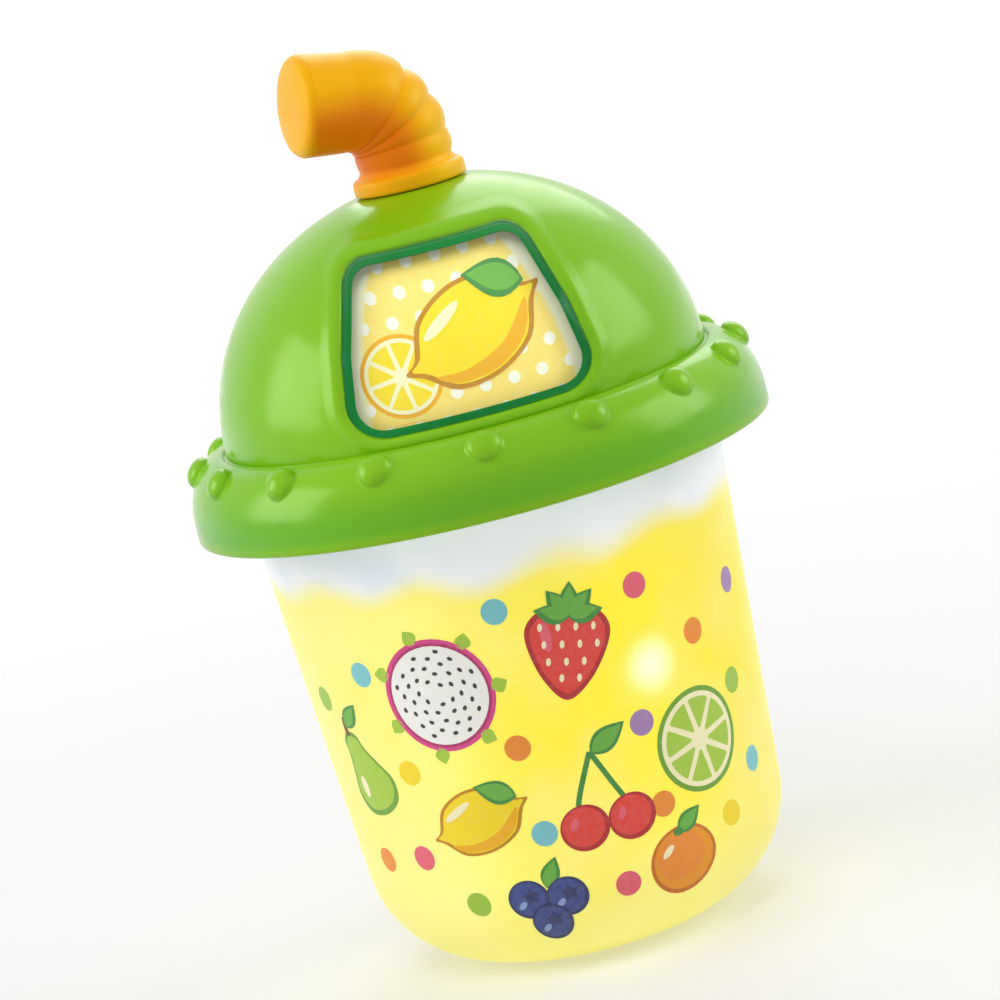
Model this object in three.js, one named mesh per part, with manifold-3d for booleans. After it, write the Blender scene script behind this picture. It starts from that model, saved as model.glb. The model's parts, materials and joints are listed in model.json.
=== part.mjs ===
// A toddler's smoothie-cup toy: a tapered translucent cup with a domed, studded lid, a window in
// the lid, and a bent straw that turns a drum of pictures behind the window.
// Millimetres, +Z up. The origin is the centre of the cup's flat base, and the window faces -Y.

import * as THREE from "three";
import { mergeVertices } from "three/addons/utils/BufferGeometryUtils.js";
import Module from "manifold-3d";

const wasm = await Module();
wasm.setup();

// Fits and cuts
const GAP = 0.3;
const OVERRUN = 3;
const WELD = 0.001;

// Facets round a turn
const FACETS = { lid: 36, cup: 36, drum: 30, boss: 10, screw: 8, straw: 18, wheel: 16, stud: 8 };
const CORNER_STEPS = 4;
const MOUTH_STEPS = 3;
const DOME_STEPS = { outside: 9, inside: 6 };

// Cup shell: a straight taper on a large bottom corner, with a flange at its mouth
const cup = {
  footRadius: 43.87,
  shoulderRadius: 50.43,
  shoulderHeight: 101.8,
  corner: 24,
  wall: 2,
  flangeThick: 1.8,
};
cup.slope = (cup.shoulderRadius - cup.footRadius) / cup.shoulderHeight;
cup.lean = Math.atan(cup.slope);

// Rim of the lid: a heavy rolled band with a ring of studs on its shoulder
const rim = {
  overhang: 11.57,
  bottom: 101.3,
  edgeRound: 1,
  bandHeight: 3.7,
  shoulderReach: 8.5,
  shoulderRise: 13.4,
  wall: 2.2,
  studs: 16,
  studTurn: THREE.MathUtils.degToRad(1.2),
  studHalfWidth: 3.7,
  studHalfHeight: 3.4,
  studHalfDepth: 2.9,
  studSink: 0.6,
  studPlace: THREE.MathUtils.degToRad(56),
};
rim.radius = cup.shoulderRadius + rim.overhang;
rim.shoulderCentre = rim.radius - rim.shoulderReach;
rim.shoulderStart = rim.bottom + rim.bandHeight;
rim.top = rim.shoulderStart + rim.shoulderRise;

// Dome of the lid: a near half-ellipsoid that rises from a crease inside the rim
const dome = {
  creaseInset: 1.53,
  height: 46.75,
  creaseDrop: 0.5,
  roundness: 2.04,
  wall: 2.2,
  hubRadius: 9.3,
  hubDepth: 5,
};
dome.radius = rim.shoulderCentre - dome.creaseInset;
dome.base = rim.top - dome.creaseDrop;

// Window: a rounded trapezoid seen from the front, with a raised frame
const pane = {
  turn: THREE.MathUtils.degToRad(2),
  rise: 2.5,
  height: 35.3,
  topHalfWidth: 18.6,
  middleHalfWidth: 24,
  bottomHalfWidth: 27,
  topCorner: 6.5,
  bottomCorner: 7,
  frameWidth: 2.8,
  frameProud: 0.9,
  lensThick: 1.5,
  lensLap: 2.6,
};
pane.bottom = dome.base + pane.rise;
pane.top = pane.bottom + pane.height;
pane.middleHeight = (pane.top + pane.bottom) / 2;

// Straw: a flange, a short neck, a corrugated elbow and a closed mouth
const straw = {
  flangeRadius: 12,
  flangeThick: 3.7,
  flangeRound: 1.4,
  neckRadius: 10.25,
  elbowHeight: 8.3,
  elbowRadius: 12.2,
  elbowTurn: THREE.MathUtils.degToRad(80),
  elbowTubeRadius: 9.9,
  mouthLength: 11.6,
  mouthRadius: 11.3,
  endRound: 2.2,
  ribs: 4,
  ribProud: 1.5,
  restTurn: THREE.MathUtils.degToRad(20),
  socketDepth: 12,
  seatMargin: 0.4,
};
dome.seatRadius = straw.flangeRadius + straw.seatMargin;

// Shaft, washer and screw on the straw's axis
const shaft = { radius: 6, pilotDepth: 10 };
const washer = { radius: 10, thick: 1.3 };
const drum = {
  lensClearance: 1.5,
  wall: 1.6,
  skirtDrop: 5.3,
  hubRadius: 8.7,
  hubFloor: 2.5,
  socketDepth: 8,
  camRadius: 11,
  camThick: 4,
  camNotches: 6,
  camNotchDepth: 0.8,
  camNotchRadius: 2.4,
  pivotRadius: 5.5,
  pivotBore: 3.8,
  pivotLength: 7,
};
drum.inset = dome.wall + GAP + pane.lensThick + drum.lensClearance;
drum.radius = dome.radius - drum.inset;
drum.skirtBottom = dome.base - drum.skirtDrop;

// Screws: pan heads on plain shanks
const screw = {
  big: { head: 3.1, headThick: 1.9, shank: 1.4, shankLength: 9 },
  small: { head: 2.5, headThick: 1.6, shank: 1.1, shankLength: 6 },
};

// Ring that closes the rim from below and carries the cup's flange
const lidBase = { thick: 2.5, screws: 6, screwTurn: THREE.MathUtils.degToRad(30), postRadius: 2.9 };
lidBase.bottom = rim.bottom + screw.big.headThick + 2 * GAP;
lidBase.top = lidBase.bottom + lidBase.thick;
lidBase.outer = rim.radius - rim.wall - GAP;
lidBase.postPlace = lidBase.outer - lidBase.postRadius;

cup.flangeBottom = lidBase.top + GAP;
cup.flangeTop = cup.flangeBottom + cup.flangeThick;
cup.flangeRadius = lidBase.postPlace - lidBase.postRadius - GAP;

// Plate that carries the drum's lower bearing, and what stands on it
const plate = {
  thick: 2.2,
  ribWidth: 2,
  bearingRise: 1.6,
  bearingWall: 2.2,
  slotHalfWidth: 5,
  slotDepth: 3,
  slotSpace: 3,
};
plate.bottom = cup.flangeTop + GAP;
plate.top = plate.bottom + plate.thick;
plate.clampTop = plate.top + GAP;
const positionBoard = { width: 12, camSpace: 1, thick: 1.2 };
positionBoard.innerRadius = drum.camRadius + positionBoard.camSpace;
positionBoard.outerRadius = positionBoard.innerRadius + positionBoard.width;
plate.slotPlace = positionBoard.outerRadius + plate.slotSpace;
const wiper = { thick: 0.6, rise: 2.7, fingerHalfWidth: 1.6, fingers: 3 };
wiper.tipRadius = positionBoard.innerRadius + (positionBoard.width * 2) / 3;
const detent = { leafLength: 16, postHalf: 3, strip: 0.8, noseRadius: 2, height: 3.4, foot: 7 };
detent.postPlace = drum.camRadius + detent.noseRadius + detent.leafLength + 2 * GAP;

// White liner behind the cup's top band, with a wavy lower edge
const liner = { wall: 1.2, edgeDrop: 9.3, swing: 3.4, waves: 5, waveTurn: 0.9 };
liner.edgeHeight = rim.bottom - liner.edgeDrop;

// Battery box, cells and contacts at the back of the cup
const cell = { radius: 5.25, bodyLength: 44.5, spacing: 0.5, firstHeight: 31.2 };
cell.pitch = 2 * cell.radius + cell.spacing;
const box = {
  wall: 1.8,
  clearance: 0.5,
  springRoom: 4.2,
  tabRoom: 1.3,
  earReach: 6,
  earThick: 2.6,
  earHalf: 3.4,
  screwPost: 3.4,
};
cell.depthPlace =
  Math.sqrt(
    (cupRadius(cell.firstHeight) - cup.wall) ** 2 - ((cell.bodyLength + box.springRoom) / 2) ** 2,
  ) -
  cell.radius -
  GAP;
box.halfLength = (cell.bodyLength + box.springRoom + box.tabRoom) / 2;
box.pocketLow = cell.firstHeight - cell.radius - box.clearance;
box.pocketHigh = cell.firstHeight + cell.pitch + cell.radius + box.clearance;
box.pocketFront = cell.depthPlace - cell.radius - box.clearance;
box.front = box.pocketFront - box.wall;
box.middle = (box.pocketLow + box.pocketHigh) / 2;
box.screwHeight = box.pocketHigh + box.screwPost + box.wall / 2;
const contact = { thick: 0.6, halfWidth: 4, springRadius: 3.6, springTip: 2.2 };

// Battery door: a flush piece of the cup's wall, held by one screw
const door = {
  sideMargin: 1,
  sill: 1.5,
  topMargin: 4.2,
  corner: 4,
  rebate: 1.6,
  bossRadius: 4.6,
  bossWall: 1.2,
};
door.halfWidth = box.halfLength + box.wall + door.sideMargin;
door.low = box.pocketLow - door.sill;
door.high = box.screwHeight + door.topMargin;

// Speaker behind its grille
const speaker = {
  doorSpace: 1.8,
  radius: 12,
  thick: 5.5,
  magnetRadius: 7,
  magnetThick: 3.5,
  ringWall: 1.5,
  slots: 5,
  slotHeight: 1.8,
  slotRoundShare: 0.95,
  slotPitch: 3.7,
  grilleRadius: 10,
};
speaker.ringRadius = speaker.radius + GAP + speaker.ringWall;
speaker.height = door.high + speaker.doorSpace + speaker.ringRadius;
speaker.front =
  Math.sqrt((cupRadius(speaker.height) - cup.wall) ** 2 - speaker.radius ** 2) - speaker.ringWall;
const clamp = { thick: 1.8, halfHeight: 4, ringSpace: 2.1, bossRadius: 2.7 };
clamp.bossPlace = speaker.ringRadius + clamp.ringSpace + clamp.bossRadius;
clamp.bossFront = speaker.front - speaker.thick;
clamp.halfWidth = clamp.bossPlace + clamp.bossRadius;

// Slide switch on the back, beside the speaker
const toggle = {
  turn: THREE.MathUtils.degToRad(-48),
  travel: 3.5,
  knobHalfWidth: 2.6,
  knobHalfHeight: 2,
  knobProud: 1.6,
  ridge: 0.5,
  recessHalfWidth: 10,
  recessHalfHeight: 4.6,
  recessDepth: 1,
  recessCorner: 2,
  bodyHalfWidth: 8.5,
  bodyHalfHeight: 3.6,
  bodyThick: 5,
};

toggle.height = speaker.height;

// Main board in front of the battery box, with its lamps, chip and motion sensor
const board = {
  halfWidth: 21,
  low: 27,
  high: 68,
  thick: 1.6,
  standoff: 2.2,
  standoffRadius: 2.6,
  screwPlace: 15,
  lampRadius: 2.5,
  lampLength: 5.4,
  lampInset: 7,
  lampPlace: 12,
  chipRadius: 5,
  chipThick: 1.8,
  chipInset: 1.5,
  sensorRadius: 3,
  sensorLength: 7,
  sensorPlace: 13,
  partSpace: 3,
};
board.lampHeight = board.high - board.lampInset;
board.chipHeight = board.low + board.chipInset + board.chipRadius;
board.lowLampHeight = board.chipHeight + board.chipRadius + board.partSpace + board.lampRadius;
board.sensorHeight = (board.lampHeight + box.middle) / 2;
board.back = box.front - board.standoff - GAP;
board.front = board.back - board.thick;
const ribbon = { halfWidth: 4, thick: 0.8, bend: 3 };
const lead = { radius: 1, facets: 8, steps: 8 };

const colours = {
  lidGreen: 0x8dc63f,
  strawOrange: 0xffb511,
  cupYellow: 0xf9ee62,
  white: 0xf2f3ee,
  clear: 0xdcebe6,
  boardGreen: 0x1f6b3c,
  steel: 0xb8bcc0,
  black: 0x22242a,
  cellBlue: 0x3b5c8c,
  copper: 0xb87946,
  lampWhite: 0xfdf8e0,
  grey: 0x8b9096,
};

function plastic(colour, roughness = 0.4) {
  return new THREE.MeshStandardMaterial({ color: colour, roughness, metalness: 0 });
}

function metal(colour, roughness = 0.35) {
  return new THREE.MeshStandardMaterial({ color: colour, roughness, metalness: 1 });
}

// Outer radius of the cup's taper at a height
function cupRadius(height) {
  return cup.footRadius + cup.slope * height;
}

// Solids and meshes

// A closed geometry as a solid that can be joined and cut
function toSolid(geometry) {
  const bare = geometry.clone();
  bare.deleteAttribute("normal");
  bare.deleteAttribute("uv");
  const merged = mergeVertices(bare, WELD);
  const corners = merged.index.array;
  const kept = [];
  for (let i = 0; i < corners.length; i += 3) {
    const [a, b, c] = [corners[i], corners[i + 1], corners[i + 2]];
    if (a !== b && b !== c && c !== a) kept.push(a, b, c);
  }
  return new wasm.Manifold(
    new wasm.Mesh({
      numProp: 3,
      vertProperties: new Float32Array(merged.attributes.position.array),
      triVerts: new Uint32Array(kept),
    }),
  );
}

// A solid as a named mesh with flat-shaded normals
function toMesh(name, solid, material) {
  const { vertProperties, triVerts } = solid.getMesh();
  const geometry = new THREE.BufferGeometry();
  geometry.setAttribute("position", new THREE.BufferAttribute(vertProperties, 3));
  geometry.setIndex(new THREE.BufferAttribute(triVerts, 1));
  const flat = geometry.toNonIndexed();
  flat.computeVertexNormals();
  const mesh = new THREE.Mesh(flat, material);
  mesh.name = name;
  return mesh;
}

function joined(first, ...others) {
  return others.reduce((whole, piece) => whole.add(piece), first);
}

function cutBy(first, ...others) {
  return others.reduce((rest, piece) => rest.subtract(piece), first);
}

// Outlines

// Twice the area that a closed outline goes round, positive when it runs anticlockwise
function turnOf(points) {
  return points.reduce((sum, p, i) => {
    const q = points[(i + 1) % points.length];
    return sum + p.x * q.y - q.x * p.y;
  }, 0);
}

// Points along an ellipse between two angles, in radians
function ellipsePoints(centre, across, up, from, to, steps) {
  return Array.from({ length: steps + 1 }, (_, i) => {
    const angle = from + ((to - from) * i) / steps;
    return new THREE.Vector2(
      centre.x + across * Math.cos(angle),
      centre.y + up * Math.sin(angle),
    );
  });
}

// A polygon with a round at each corner; each corner is [x, y, radius]
function roundedOutline(corners) {
  const points = [];
  corners.forEach(([x, y, radius], i) => {
    const at = new THREE.Vector2(x, y);
    const [px, py] = corners[(i + corners.length - 1) % corners.length];
    const [nx, ny] = corners[(i + 1) % corners.length];
    const back = new THREE.Vector2(px - x, py - y).normalize();
    const on = new THREE.Vector2(nx - x, ny - y).normalize();
    const half = Math.acos(back.dot(on)) / 2;
    const middle = back.clone().add(on).normalize();
    const centre = at.clone().addScaledVector(middle, radius / Math.sin(half));
    const start = at.clone().addScaledVector(back, radius / Math.tan(half)).sub(centre);
    const end = at.clone().addScaledVector(on, radius / Math.tan(half)).sub(centre);
    const from = start.angle();
    let sweep = end.angle() - from;
    sweep -= 2 * Math.PI * Math.round(sweep / (2 * Math.PI));
    points.push(...ellipsePoints(centre, radius, radius, from, from + sweep, CORNER_STEPS));
  });
  return points;
}

function roundedRectangle(halfWidth, halfHeight, radius, x = 0, y = 0) {
  return roundedOutline([
    [x - halfWidth, y - halfHeight, radius],
    [x + halfWidth, y - halfHeight, radius],
    [x + halfWidth, y + halfHeight, radius],
    [x - halfWidth, y + halfHeight, radius],
  ]);
}

// Basic forms

// A solid of revolution about Z from an outline of radius and height
function revolved(points, facets) {
  const outline = turnOf(points) > 0 ? points : [...points].reverse();
  const onAxis = outline.some((p) => p.x === 0);
  const first = onAxis ? outline.findIndex((p, i) => p.x === 0 && previous(outline, i).x === 0) : 0;
  const ordered = [...outline.slice(first), ...outline.slice(0, first)];
  if (!onAxis) ordered.push(ordered[0].clone());
  return toSolid(new THREE.LatheGeometry(ordered, facets).rotateX(Math.PI / 2));
}

function previous(points, i) {
  return points[(i + points.length - 1) % points.length];
}

function outlineOf(...pairs) {
  return pairs.map(([x, y]) => new THREE.Vector2(x, y));
}

// An outline of x and z, drawn through the thickness from y = low to y = high
function drawnThroughY(points, low, high) {
  const shape = new THREE.Shape(points);
  const slab = new THREE.ExtrudeGeometry(shape, { depth: high - low, bevelEnabled: false });
  return toSolid(slab.rotateX(Math.PI / 2).translate(0, high, 0));
}

// An outline of x and y, raised from z = low to z = high
function raised(points, low, high, holes = []) {
  const shape = new THREE.Shape(points);
  shape.holes = holes.map((hole) => new THREE.Path(hole));
  const slab = new THREE.ExtrudeGeometry(shape, { depth: high - low, bevelEnabled: false });
  return toSolid(slab.translate(0, 0, low));
}

function block(x0, x1, y0, y1, z0, z1) {
  const brick = new THREE.BoxGeometry(x1 - x0, y1 - y0, z1 - z0);
  return toSolid(brick.translate((x0 + x1) / 2, (y0 + y1) / 2, (z0 + z1) / 2));
}

function rodX(radius, x0, x1, y, z, facets = FACETS.boss) {
  const rod = new THREE.CylinderGeometry(radius, radius, x1 - x0, facets);
  return toSolid(rod.rotateZ(Math.PI / 2).translate((x0 + x1) / 2, y, z));
}

function rodY(radius, y0, y1, x, z, facets = FACETS.boss) {
  const rod = new THREE.CylinderGeometry(radius, radius, y1 - y0, facets);
  return toSolid(rod.translate(x, (y0 + y1) / 2, z));
}

function rodZ(radius, z0, z1, x, y, facets = FACETS.boss) {
  const rod = new THREE.CylinderGeometry(radius, radius, z1 - z0, facets);
  return toSolid(rod.rotateX(Math.PI / 2).translate(x, y, (z0 + z1) / 2));
}

function turned(solid, radians) {
  return solid.rotate([0, 0, THREE.MathUtils.radToDeg(radians)]);
}

// A pan-head screw whose head's underside is at height 0 and whose shank points up
function screwSolid(kind) {
  const crown = kind.headThick / 3;
  return revolved(
    outlineOf(
      [0, -kind.headThick],
      [kind.head - crown, -kind.headThick],
      [kind.head, -kind.headThick + crown],
      [kind.head, 0],
      [kind.shank, 0],
      [kind.shank, kind.shankLength - kind.shank],
      [0, kind.shankLength],
    ),
    FACETS.screw,
  );
}

// Lid

// Outline of an ellipsoid-like dome, inset from the outer face, from its foot up to a radius
function domeCurve(inset, endRadius, steps) {
  const across = dome.radius - inset;
  const up = dome.height - inset;
  const power = 2 / dome.roundness;
  const last = Math.acos((endRadius / across) ** (1 / power));
  return Array.from({ length: steps + 1 }, (_, i) => {
    const angle = (last * i) / steps;
    return new THREE.Vector2(
      across * Math.cos(angle) ** power,
      dome.base + up * Math.sin(angle) ** power,
    );
  });
}

// Height of the dome's outer face, inset by some depth, at a radius
function domeHeight(inset, radius) {
  const share = (radius / (dome.radius - inset)) ** dome.roundness;
  return dome.base + (dome.height - inset) * (1 - share) ** (1 / dome.roundness);
}

const seatHeight = domeHeight(0, dome.seatRadius);
const hubBottom = seatHeight - dome.hubDepth;

// Window outline, grown all round by a margin
function windowOutline(margin) {
  return roundedOutline([
    [-pane.bottomHalfWidth - margin, pane.bottom - margin, pane.bottomCorner + margin],
    [pane.bottomHalfWidth + margin, pane.bottom - margin, pane.bottomCorner + margin],
    [pane.middleHalfWidth + margin, pane.middleHeight, pane.bottomCorner],
    [pane.topHalfWidth + margin, pane.top + margin, pane.topCorner + margin],
    [-pane.topHalfWidth - margin, pane.top + margin, pane.topCorner + margin],
    [-pane.middleHalfWidth - margin, pane.middleHeight, pane.bottomCorner],
  ]);
}

function windowPrism(margin) {
  return turned(drawnThroughY(windowOutline(margin), -rim.radius, -dome.hubRadius), pane.turn);
}

// A shell between two insets of the dome, down to the crease
function domeShell(outerInset, innerInset, steps) {
  const outer = domeCurve(outerInset, dome.hubRadius, steps);
  const inner = domeCurve(innerInset, dome.hubRadius, steps);
  return revolved([...outer, ...inner.reverse()], FACETS.lid);
}

function studSolid(index) {
  const normalAcross = Math.cos(rim.studPlace) / rim.shoulderReach;
  const normalUp = Math.sin(rim.studPlace) / rim.shoulderRise;
  const tilt = Math.atan2(normalUp, normalAcross);
  const stud = new THREE.SphereGeometry(1, FACETS.stud, FACETS.stud - 3);
  stud.scale(rim.studHalfDepth, rim.studHalfWidth, rim.studHalfHeight);
  stud.rotateY(-tilt);
  stud.translate(
    rim.shoulderCentre + rim.shoulderReach * Math.cos(rim.studPlace) - rim.studSink * Math.cos(tilt),
    0,
    rim.shoulderStart + rim.shoulderRise * Math.sin(rim.studPlace) - rim.studSink * Math.sin(tilt),
  );
  const angle = rim.studTurn - Math.PI / 2 + (2 * Math.PI * index) / rim.studs;
  return turned(toSolid(stud), angle);
}

function lidDome() {
  const shoulderFoot = new THREE.Vector2(rim.shoulderCentre, rim.shoulderStart);
  const quarter = Math.PI / 2;
  const clampOuter = cup.flangeRadius;
  const clampInner = clampOuter - plate.ribWidth;
  const innerReach = rim.shoulderReach - rim.wall;
  const innerRise = rim.shoulderRise - rim.wall;
  const clampAngle = Math.acos((clampOuter + GAP - shoulderFoot.x) / innerReach);
  const innerDome = domeCurve(dome.wall, dome.hubRadius, DOME_STEPS.inside).reverse();
  const profile = [
    ...outlineOf(
      [rim.radius - rim.wall, rim.bottom],
      [rim.radius - rim.edgeRound, rim.bottom],
      [rim.radius, rim.bottom + rim.edgeRound],
    ),
    ...ellipsePoints(shoulderFoot, rim.shoulderReach, rim.shoulderRise, 0, quarter, 5),
    ...domeCurve(0, dome.seatRadius, DOME_STEPS.outside),
    ...outlineOf(
      [shaft.radius + GAP, seatHeight],
      [shaft.radius + GAP, hubBottom],
      [dome.hubRadius, hubBottom],
    ),
    ...innerDome,
    ...outlineOf(
      [clampInner, dome.base - dome.wall],
      [clampInner, plate.clampTop],
      [clampOuter, plate.clampTop],
      [clampOuter + GAP, plate.clampTop + OVERRUN],
    ),
    ...ellipsePoints(shoulderFoot, innerReach, innerRise, clampAngle, 0, 3),
  ];
  // The posts end inside the shoulder's wall, and the screws end inside the posts
  const postReach = (lidBase.outer - rim.shoulderCentre) / rim.shoulderReach;
  const shoulderAtPost = rim.shoulderStart + rim.shoulderRise * Math.sqrt(1 - postReach ** 2);
  const postTop = shoulderAtPost - rim.wall / 2;
  const posts = Array.from({ length: lidBase.screws }, (_, i) => {
    const post = rodZ(lidBase.postRadius, cup.flangeBottom, postTop, lidBase.postPlace, 0);
    return turned(post, screwAngle(i));
  });
  const pilots = Array.from({ length: lidBase.screws }, (_, i) => {
    const top = lidBase.bottom + screw.big.shankLength;
    const pilot = rodZ(screw.big.shank + GAP, cup.flangeBottom - OVERRUN, top, lidBase.postPlace, 0);
    return turned(pilot, screwAngle(i));
  });
  const studs = Array.from({ length: rim.studs }, (_, i) => studSolid(i));
  const inside = revolved(
    [
      ...outlineOf([0, rim.shoulderStart]),
      ...ellipsePoints(shoulderFoot, innerReach, innerRise, 0, quarter, 3),
      ...outlineOf([0, rim.shoulderStart + innerRise]),
    ],
    FACETS.lid,
  );
  const band = domeShell(-pane.frameProud, dome.wall / 2, DOME_STEPS.outside);
  const frame = band.intersect(windowPrism(pane.frameWidth));
  const roof = joined(revolved(profile, FACETS.lid), frame);
  const studded = joined(roof, ...studs.map((stud) => stud.subtract(inside)));
  return cutBy(joined(studded, ...posts), ...pilots, windowPrism(0));
}

function windowLens() {
  const front = dome.wall + GAP;
  const back = front + pane.lensThick;
  return domeShell(front, back, DOME_STEPS.inside).intersect(windowPrism(pane.lensLap));
}

function screwAngle(index) {
  return lidBase.screwTurn + (2 * Math.PI * index) / lidBase.screws;
}

function lidBaseRing() {
  const inner = cupRadius(lidBase.top) + GAP;
  const ring = revolved(
    outlineOf(
      [inner, lidBase.bottom],
      [lidBase.outer, lidBase.bottom],
      [lidBase.outer, lidBase.top],
      [inner, lidBase.top],
    ),
    FACETS.lid,
  );
  const holes = Array.from({ length: lidBase.screws }, (_, i) => {
    const hole = rodZ(
      screw.big.shank + GAP,
      lidBase.bottom - OVERRUN,
      lidBase.top + OVERRUN,
      lidBase.postPlace,
      0,
    );
    return turned(hole, screwAngle(i));
  });
  return cutBy(ring, ...holes);
}

function lidScrew(index) {
  const low = lidBase.bottom - GAP;
  return turned(screwSolid(screw.big).translate([lidBase.postPlace, 0, low]), screwAngle(index));
}

// Cup

// Outline of the cup from the axis up to a height, inset from the outer face
function cupCurve(inset, height, steps) {
  const tangent = cup.corner / Math.tan((Math.PI / 2 + cup.lean) / 2);
  const centre = new THREE.Vector2(cup.footRadius - tangent, cup.corner);
  const round = cup.corner - inset;
  const slant = inset / Math.cos(cup.lean);
  return [
    ...outlineOf([0, inset]),
    ...ellipsePoints(centre, round, round, -Math.PI / 2, -cup.lean, steps),
    ...outlineOf([cupRadius(height) - slant, height]),
  ];
}

// The space inside an inset of the cup's outer face, as a solid
function cupSpace(inset, height) {
  return revolved([...cupCurve(inset, height, 5), ...outlineOf([0, height])], FACETS.cup);
}

const wallMiddle = cup.wall / 2;

function doorOutline(margin) {
  const halfHeight = (door.high - door.low) / 2;
  const middle = (door.high + door.low) / 2;
  return roundedRectangle(door.halfWidth - margin, halfHeight - margin, door.corner, 0, middle);
}

function doorPrism(margin) {
  return drawnThroughY(doorOutline(margin), box.front, rim.radius);
}

// The horizontal slots of the speaker grille, each cut to the grille's round outline
function grilleSlots() {
  return Array.from({ length: speaker.slots }, (_, i) => {
    const rise = (i - (speaker.slots - 1) / 2) * speaker.slotPitch;
    const halfWidth = Math.sqrt(speaker.grilleRadius ** 2 - rise ** 2);
    const halfHeight = speaker.slotHeight / 2;
    const round = halfHeight * speaker.slotRoundShare;
    const slot = roundedRectangle(halfWidth, halfHeight, round, 0, speaker.height + rise);
    return drawnThroughY(slot, speaker.front + GAP, rim.radius);
  });
}

const toggleFace = cupRadius(toggle.height) - toggle.recessDepth;

function toggleSlotHalfWidth() {
  return toggle.travel + toggle.knobHalfWidth + GAP;
}

function cupShell() {
  const profile = [
    ...cupCurve(0, cup.flangeBottom, 5),
    ...outlineOf([cup.flangeRadius, cup.flangeBottom], [cup.flangeRadius, cup.flangeTop]),
    ...cupCurve(cup.wall, cup.flangeTop, 5).reverse(),
  ];
  const trim = cupSpace(wallMiddle, cup.flangeBottom);
  const boxBosses = [-1, 1].map((side) =>
    rodY(box.earHalf, box.front + box.earThick + GAP, rim.radius, side * earPlace(), box.middle),
  );
  const clampBosses = [-1, 1].map((side) =>
    rodY(clamp.bossRadius, clamp.bossFront, rim.radius, side * clamp.bossPlace, speaker.height),
  );
  const ring = cutBy(
    rodY(speaker.ringRadius, clamp.bossFront, rim.radius, 0, speaker.height, FACETS.wheel),
    rodY(speaker.radius + GAP, 0, rim.radius, 0, speaker.height, FACETS.wheel),
  );
  const pad = turned(
    block(
      -toggle.recessHalfWidth - cup.wall,
      toggle.recessHalfWidth + cup.wall,
      toggleFace - cup.wall,
      rim.radius,
      toggle.height - toggle.recessHalfHeight - cup.wall,
      toggle.height + toggle.recessHalfHeight + cup.wall,
    ),
    toggle.turn,
  );
  const inner = joined(ring, ...boxBosses, ...clampBosses, pad).intersect(trim);
  const pilots = [-1, 1].flatMap((side) => [
    rodY(
      screw.small.shank + GAP,
      box.front,
      box.front + box.earThick + screw.small.shankLength,
      side * earPlace(),
      box.middle,
    ),
    rodY(
      screw.small.shank + GAP,
      clamp.bossFront - OVERRUN,
      clamp.bossFront + screw.small.shankLength - clamp.thick,
      side * clamp.bossPlace,
      speaker.height,
    ),
  ]);
  const recess = turned(
    drawnThroughY(
      roundedRectangle(
        toggle.recessHalfWidth,
        toggle.recessHalfHeight,
        toggle.recessCorner,
        0,
        toggle.height,
      ),
      toggleFace,
      rim.radius,
    ),
    toggle.turn,
  );
  const slot = turned(
    block(
      -toggleSlotHalfWidth(),
      toggleSlotHalfWidth(),
      toggleFace - cup.wall - OVERRUN,
      rim.radius,
      toggle.height - toggle.knobHalfHeight - GAP,
      toggle.height + toggle.knobHalfHeight + GAP,
    ),
    toggle.turn,
  );
  const shell = revolved(profile, FACETS.cup);
  return cutBy(joined(shell, inner), ...pilots, doorPrism(0), ...grilleSlots(), recess, slot);
}

// White liner: a tapered ring whose lower edge rises and falls
function topLiner() {
  const top = cup.flangeTop;
  const low = liner.edgeHeight - liner.swing - OVERRUN;
  const outer = cup.wall + GAP;
  const inner = outer + liner.wall;
  const profile = outlineOf(
    [cupRadius(low) - outer, low],
    [cupRadius(top) - outer, top],
    [cupRadius(top) - inner, top],
    [cupRadius(low) - inner, low],
  );
  const steps = FACETS.cup;
  const edge = Array.from({ length: steps + 1 }, (_, i) => {
    const angle = (2 * Math.PI * i) / steps;
    return [angle, liner.edgeHeight + liner.swing * waveAt(angle)];
  });
  return cutBy(revolved(profile, FACETS.cup), wavyCutter(edge, low - OVERRUN));
}

// Height of the wavy edge at an angle, as a share of its swing
function waveAt(angle) {
  const slow = Math.sin(liner.waves * angle + liner.waveTurn);
  return (2 * slow + Math.sin((liner.waves + 2) * angle)) / 3;
}

// A closed fan from the axis out past the cup whose top follows the wavy edge
function wavyCutter(edge, low) {
  const reach = rim.radius;
  const positions = [];
  const corner = ([angle, height], radius, z) => [
    radius * Math.cos(angle),
    radius * Math.sin(angle),
    z ?? height,
  ];
  const middleHeight = liner.edgeHeight;
  const face = (...points) => points.forEach((point) => positions.push(...point));
  for (let i = 0; i + 1 < edge.length; i += 1) {
    const [a, b] = [edge[i], edge[i + 1]];
    face([0, 0, middleHeight], corner(a, reach), corner(b, reach));
    face([0, 0, low], corner(b, reach, low), corner(a, reach, low));
    face(corner(a, reach, low), corner(b, reach, low), corner(b, reach));
    face(corner(a, reach, low), corner(b, reach), corner(a, reach));
  }
  const geometry = new THREE.BufferGeometry();
  geometry.setAttribute("position", new THREE.Float32BufferAttribute(positions, 3));
  return toSolid(geometry);
}

// Straw and what turns with it

const neckFoot = seatHeight + GAP;

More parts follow.
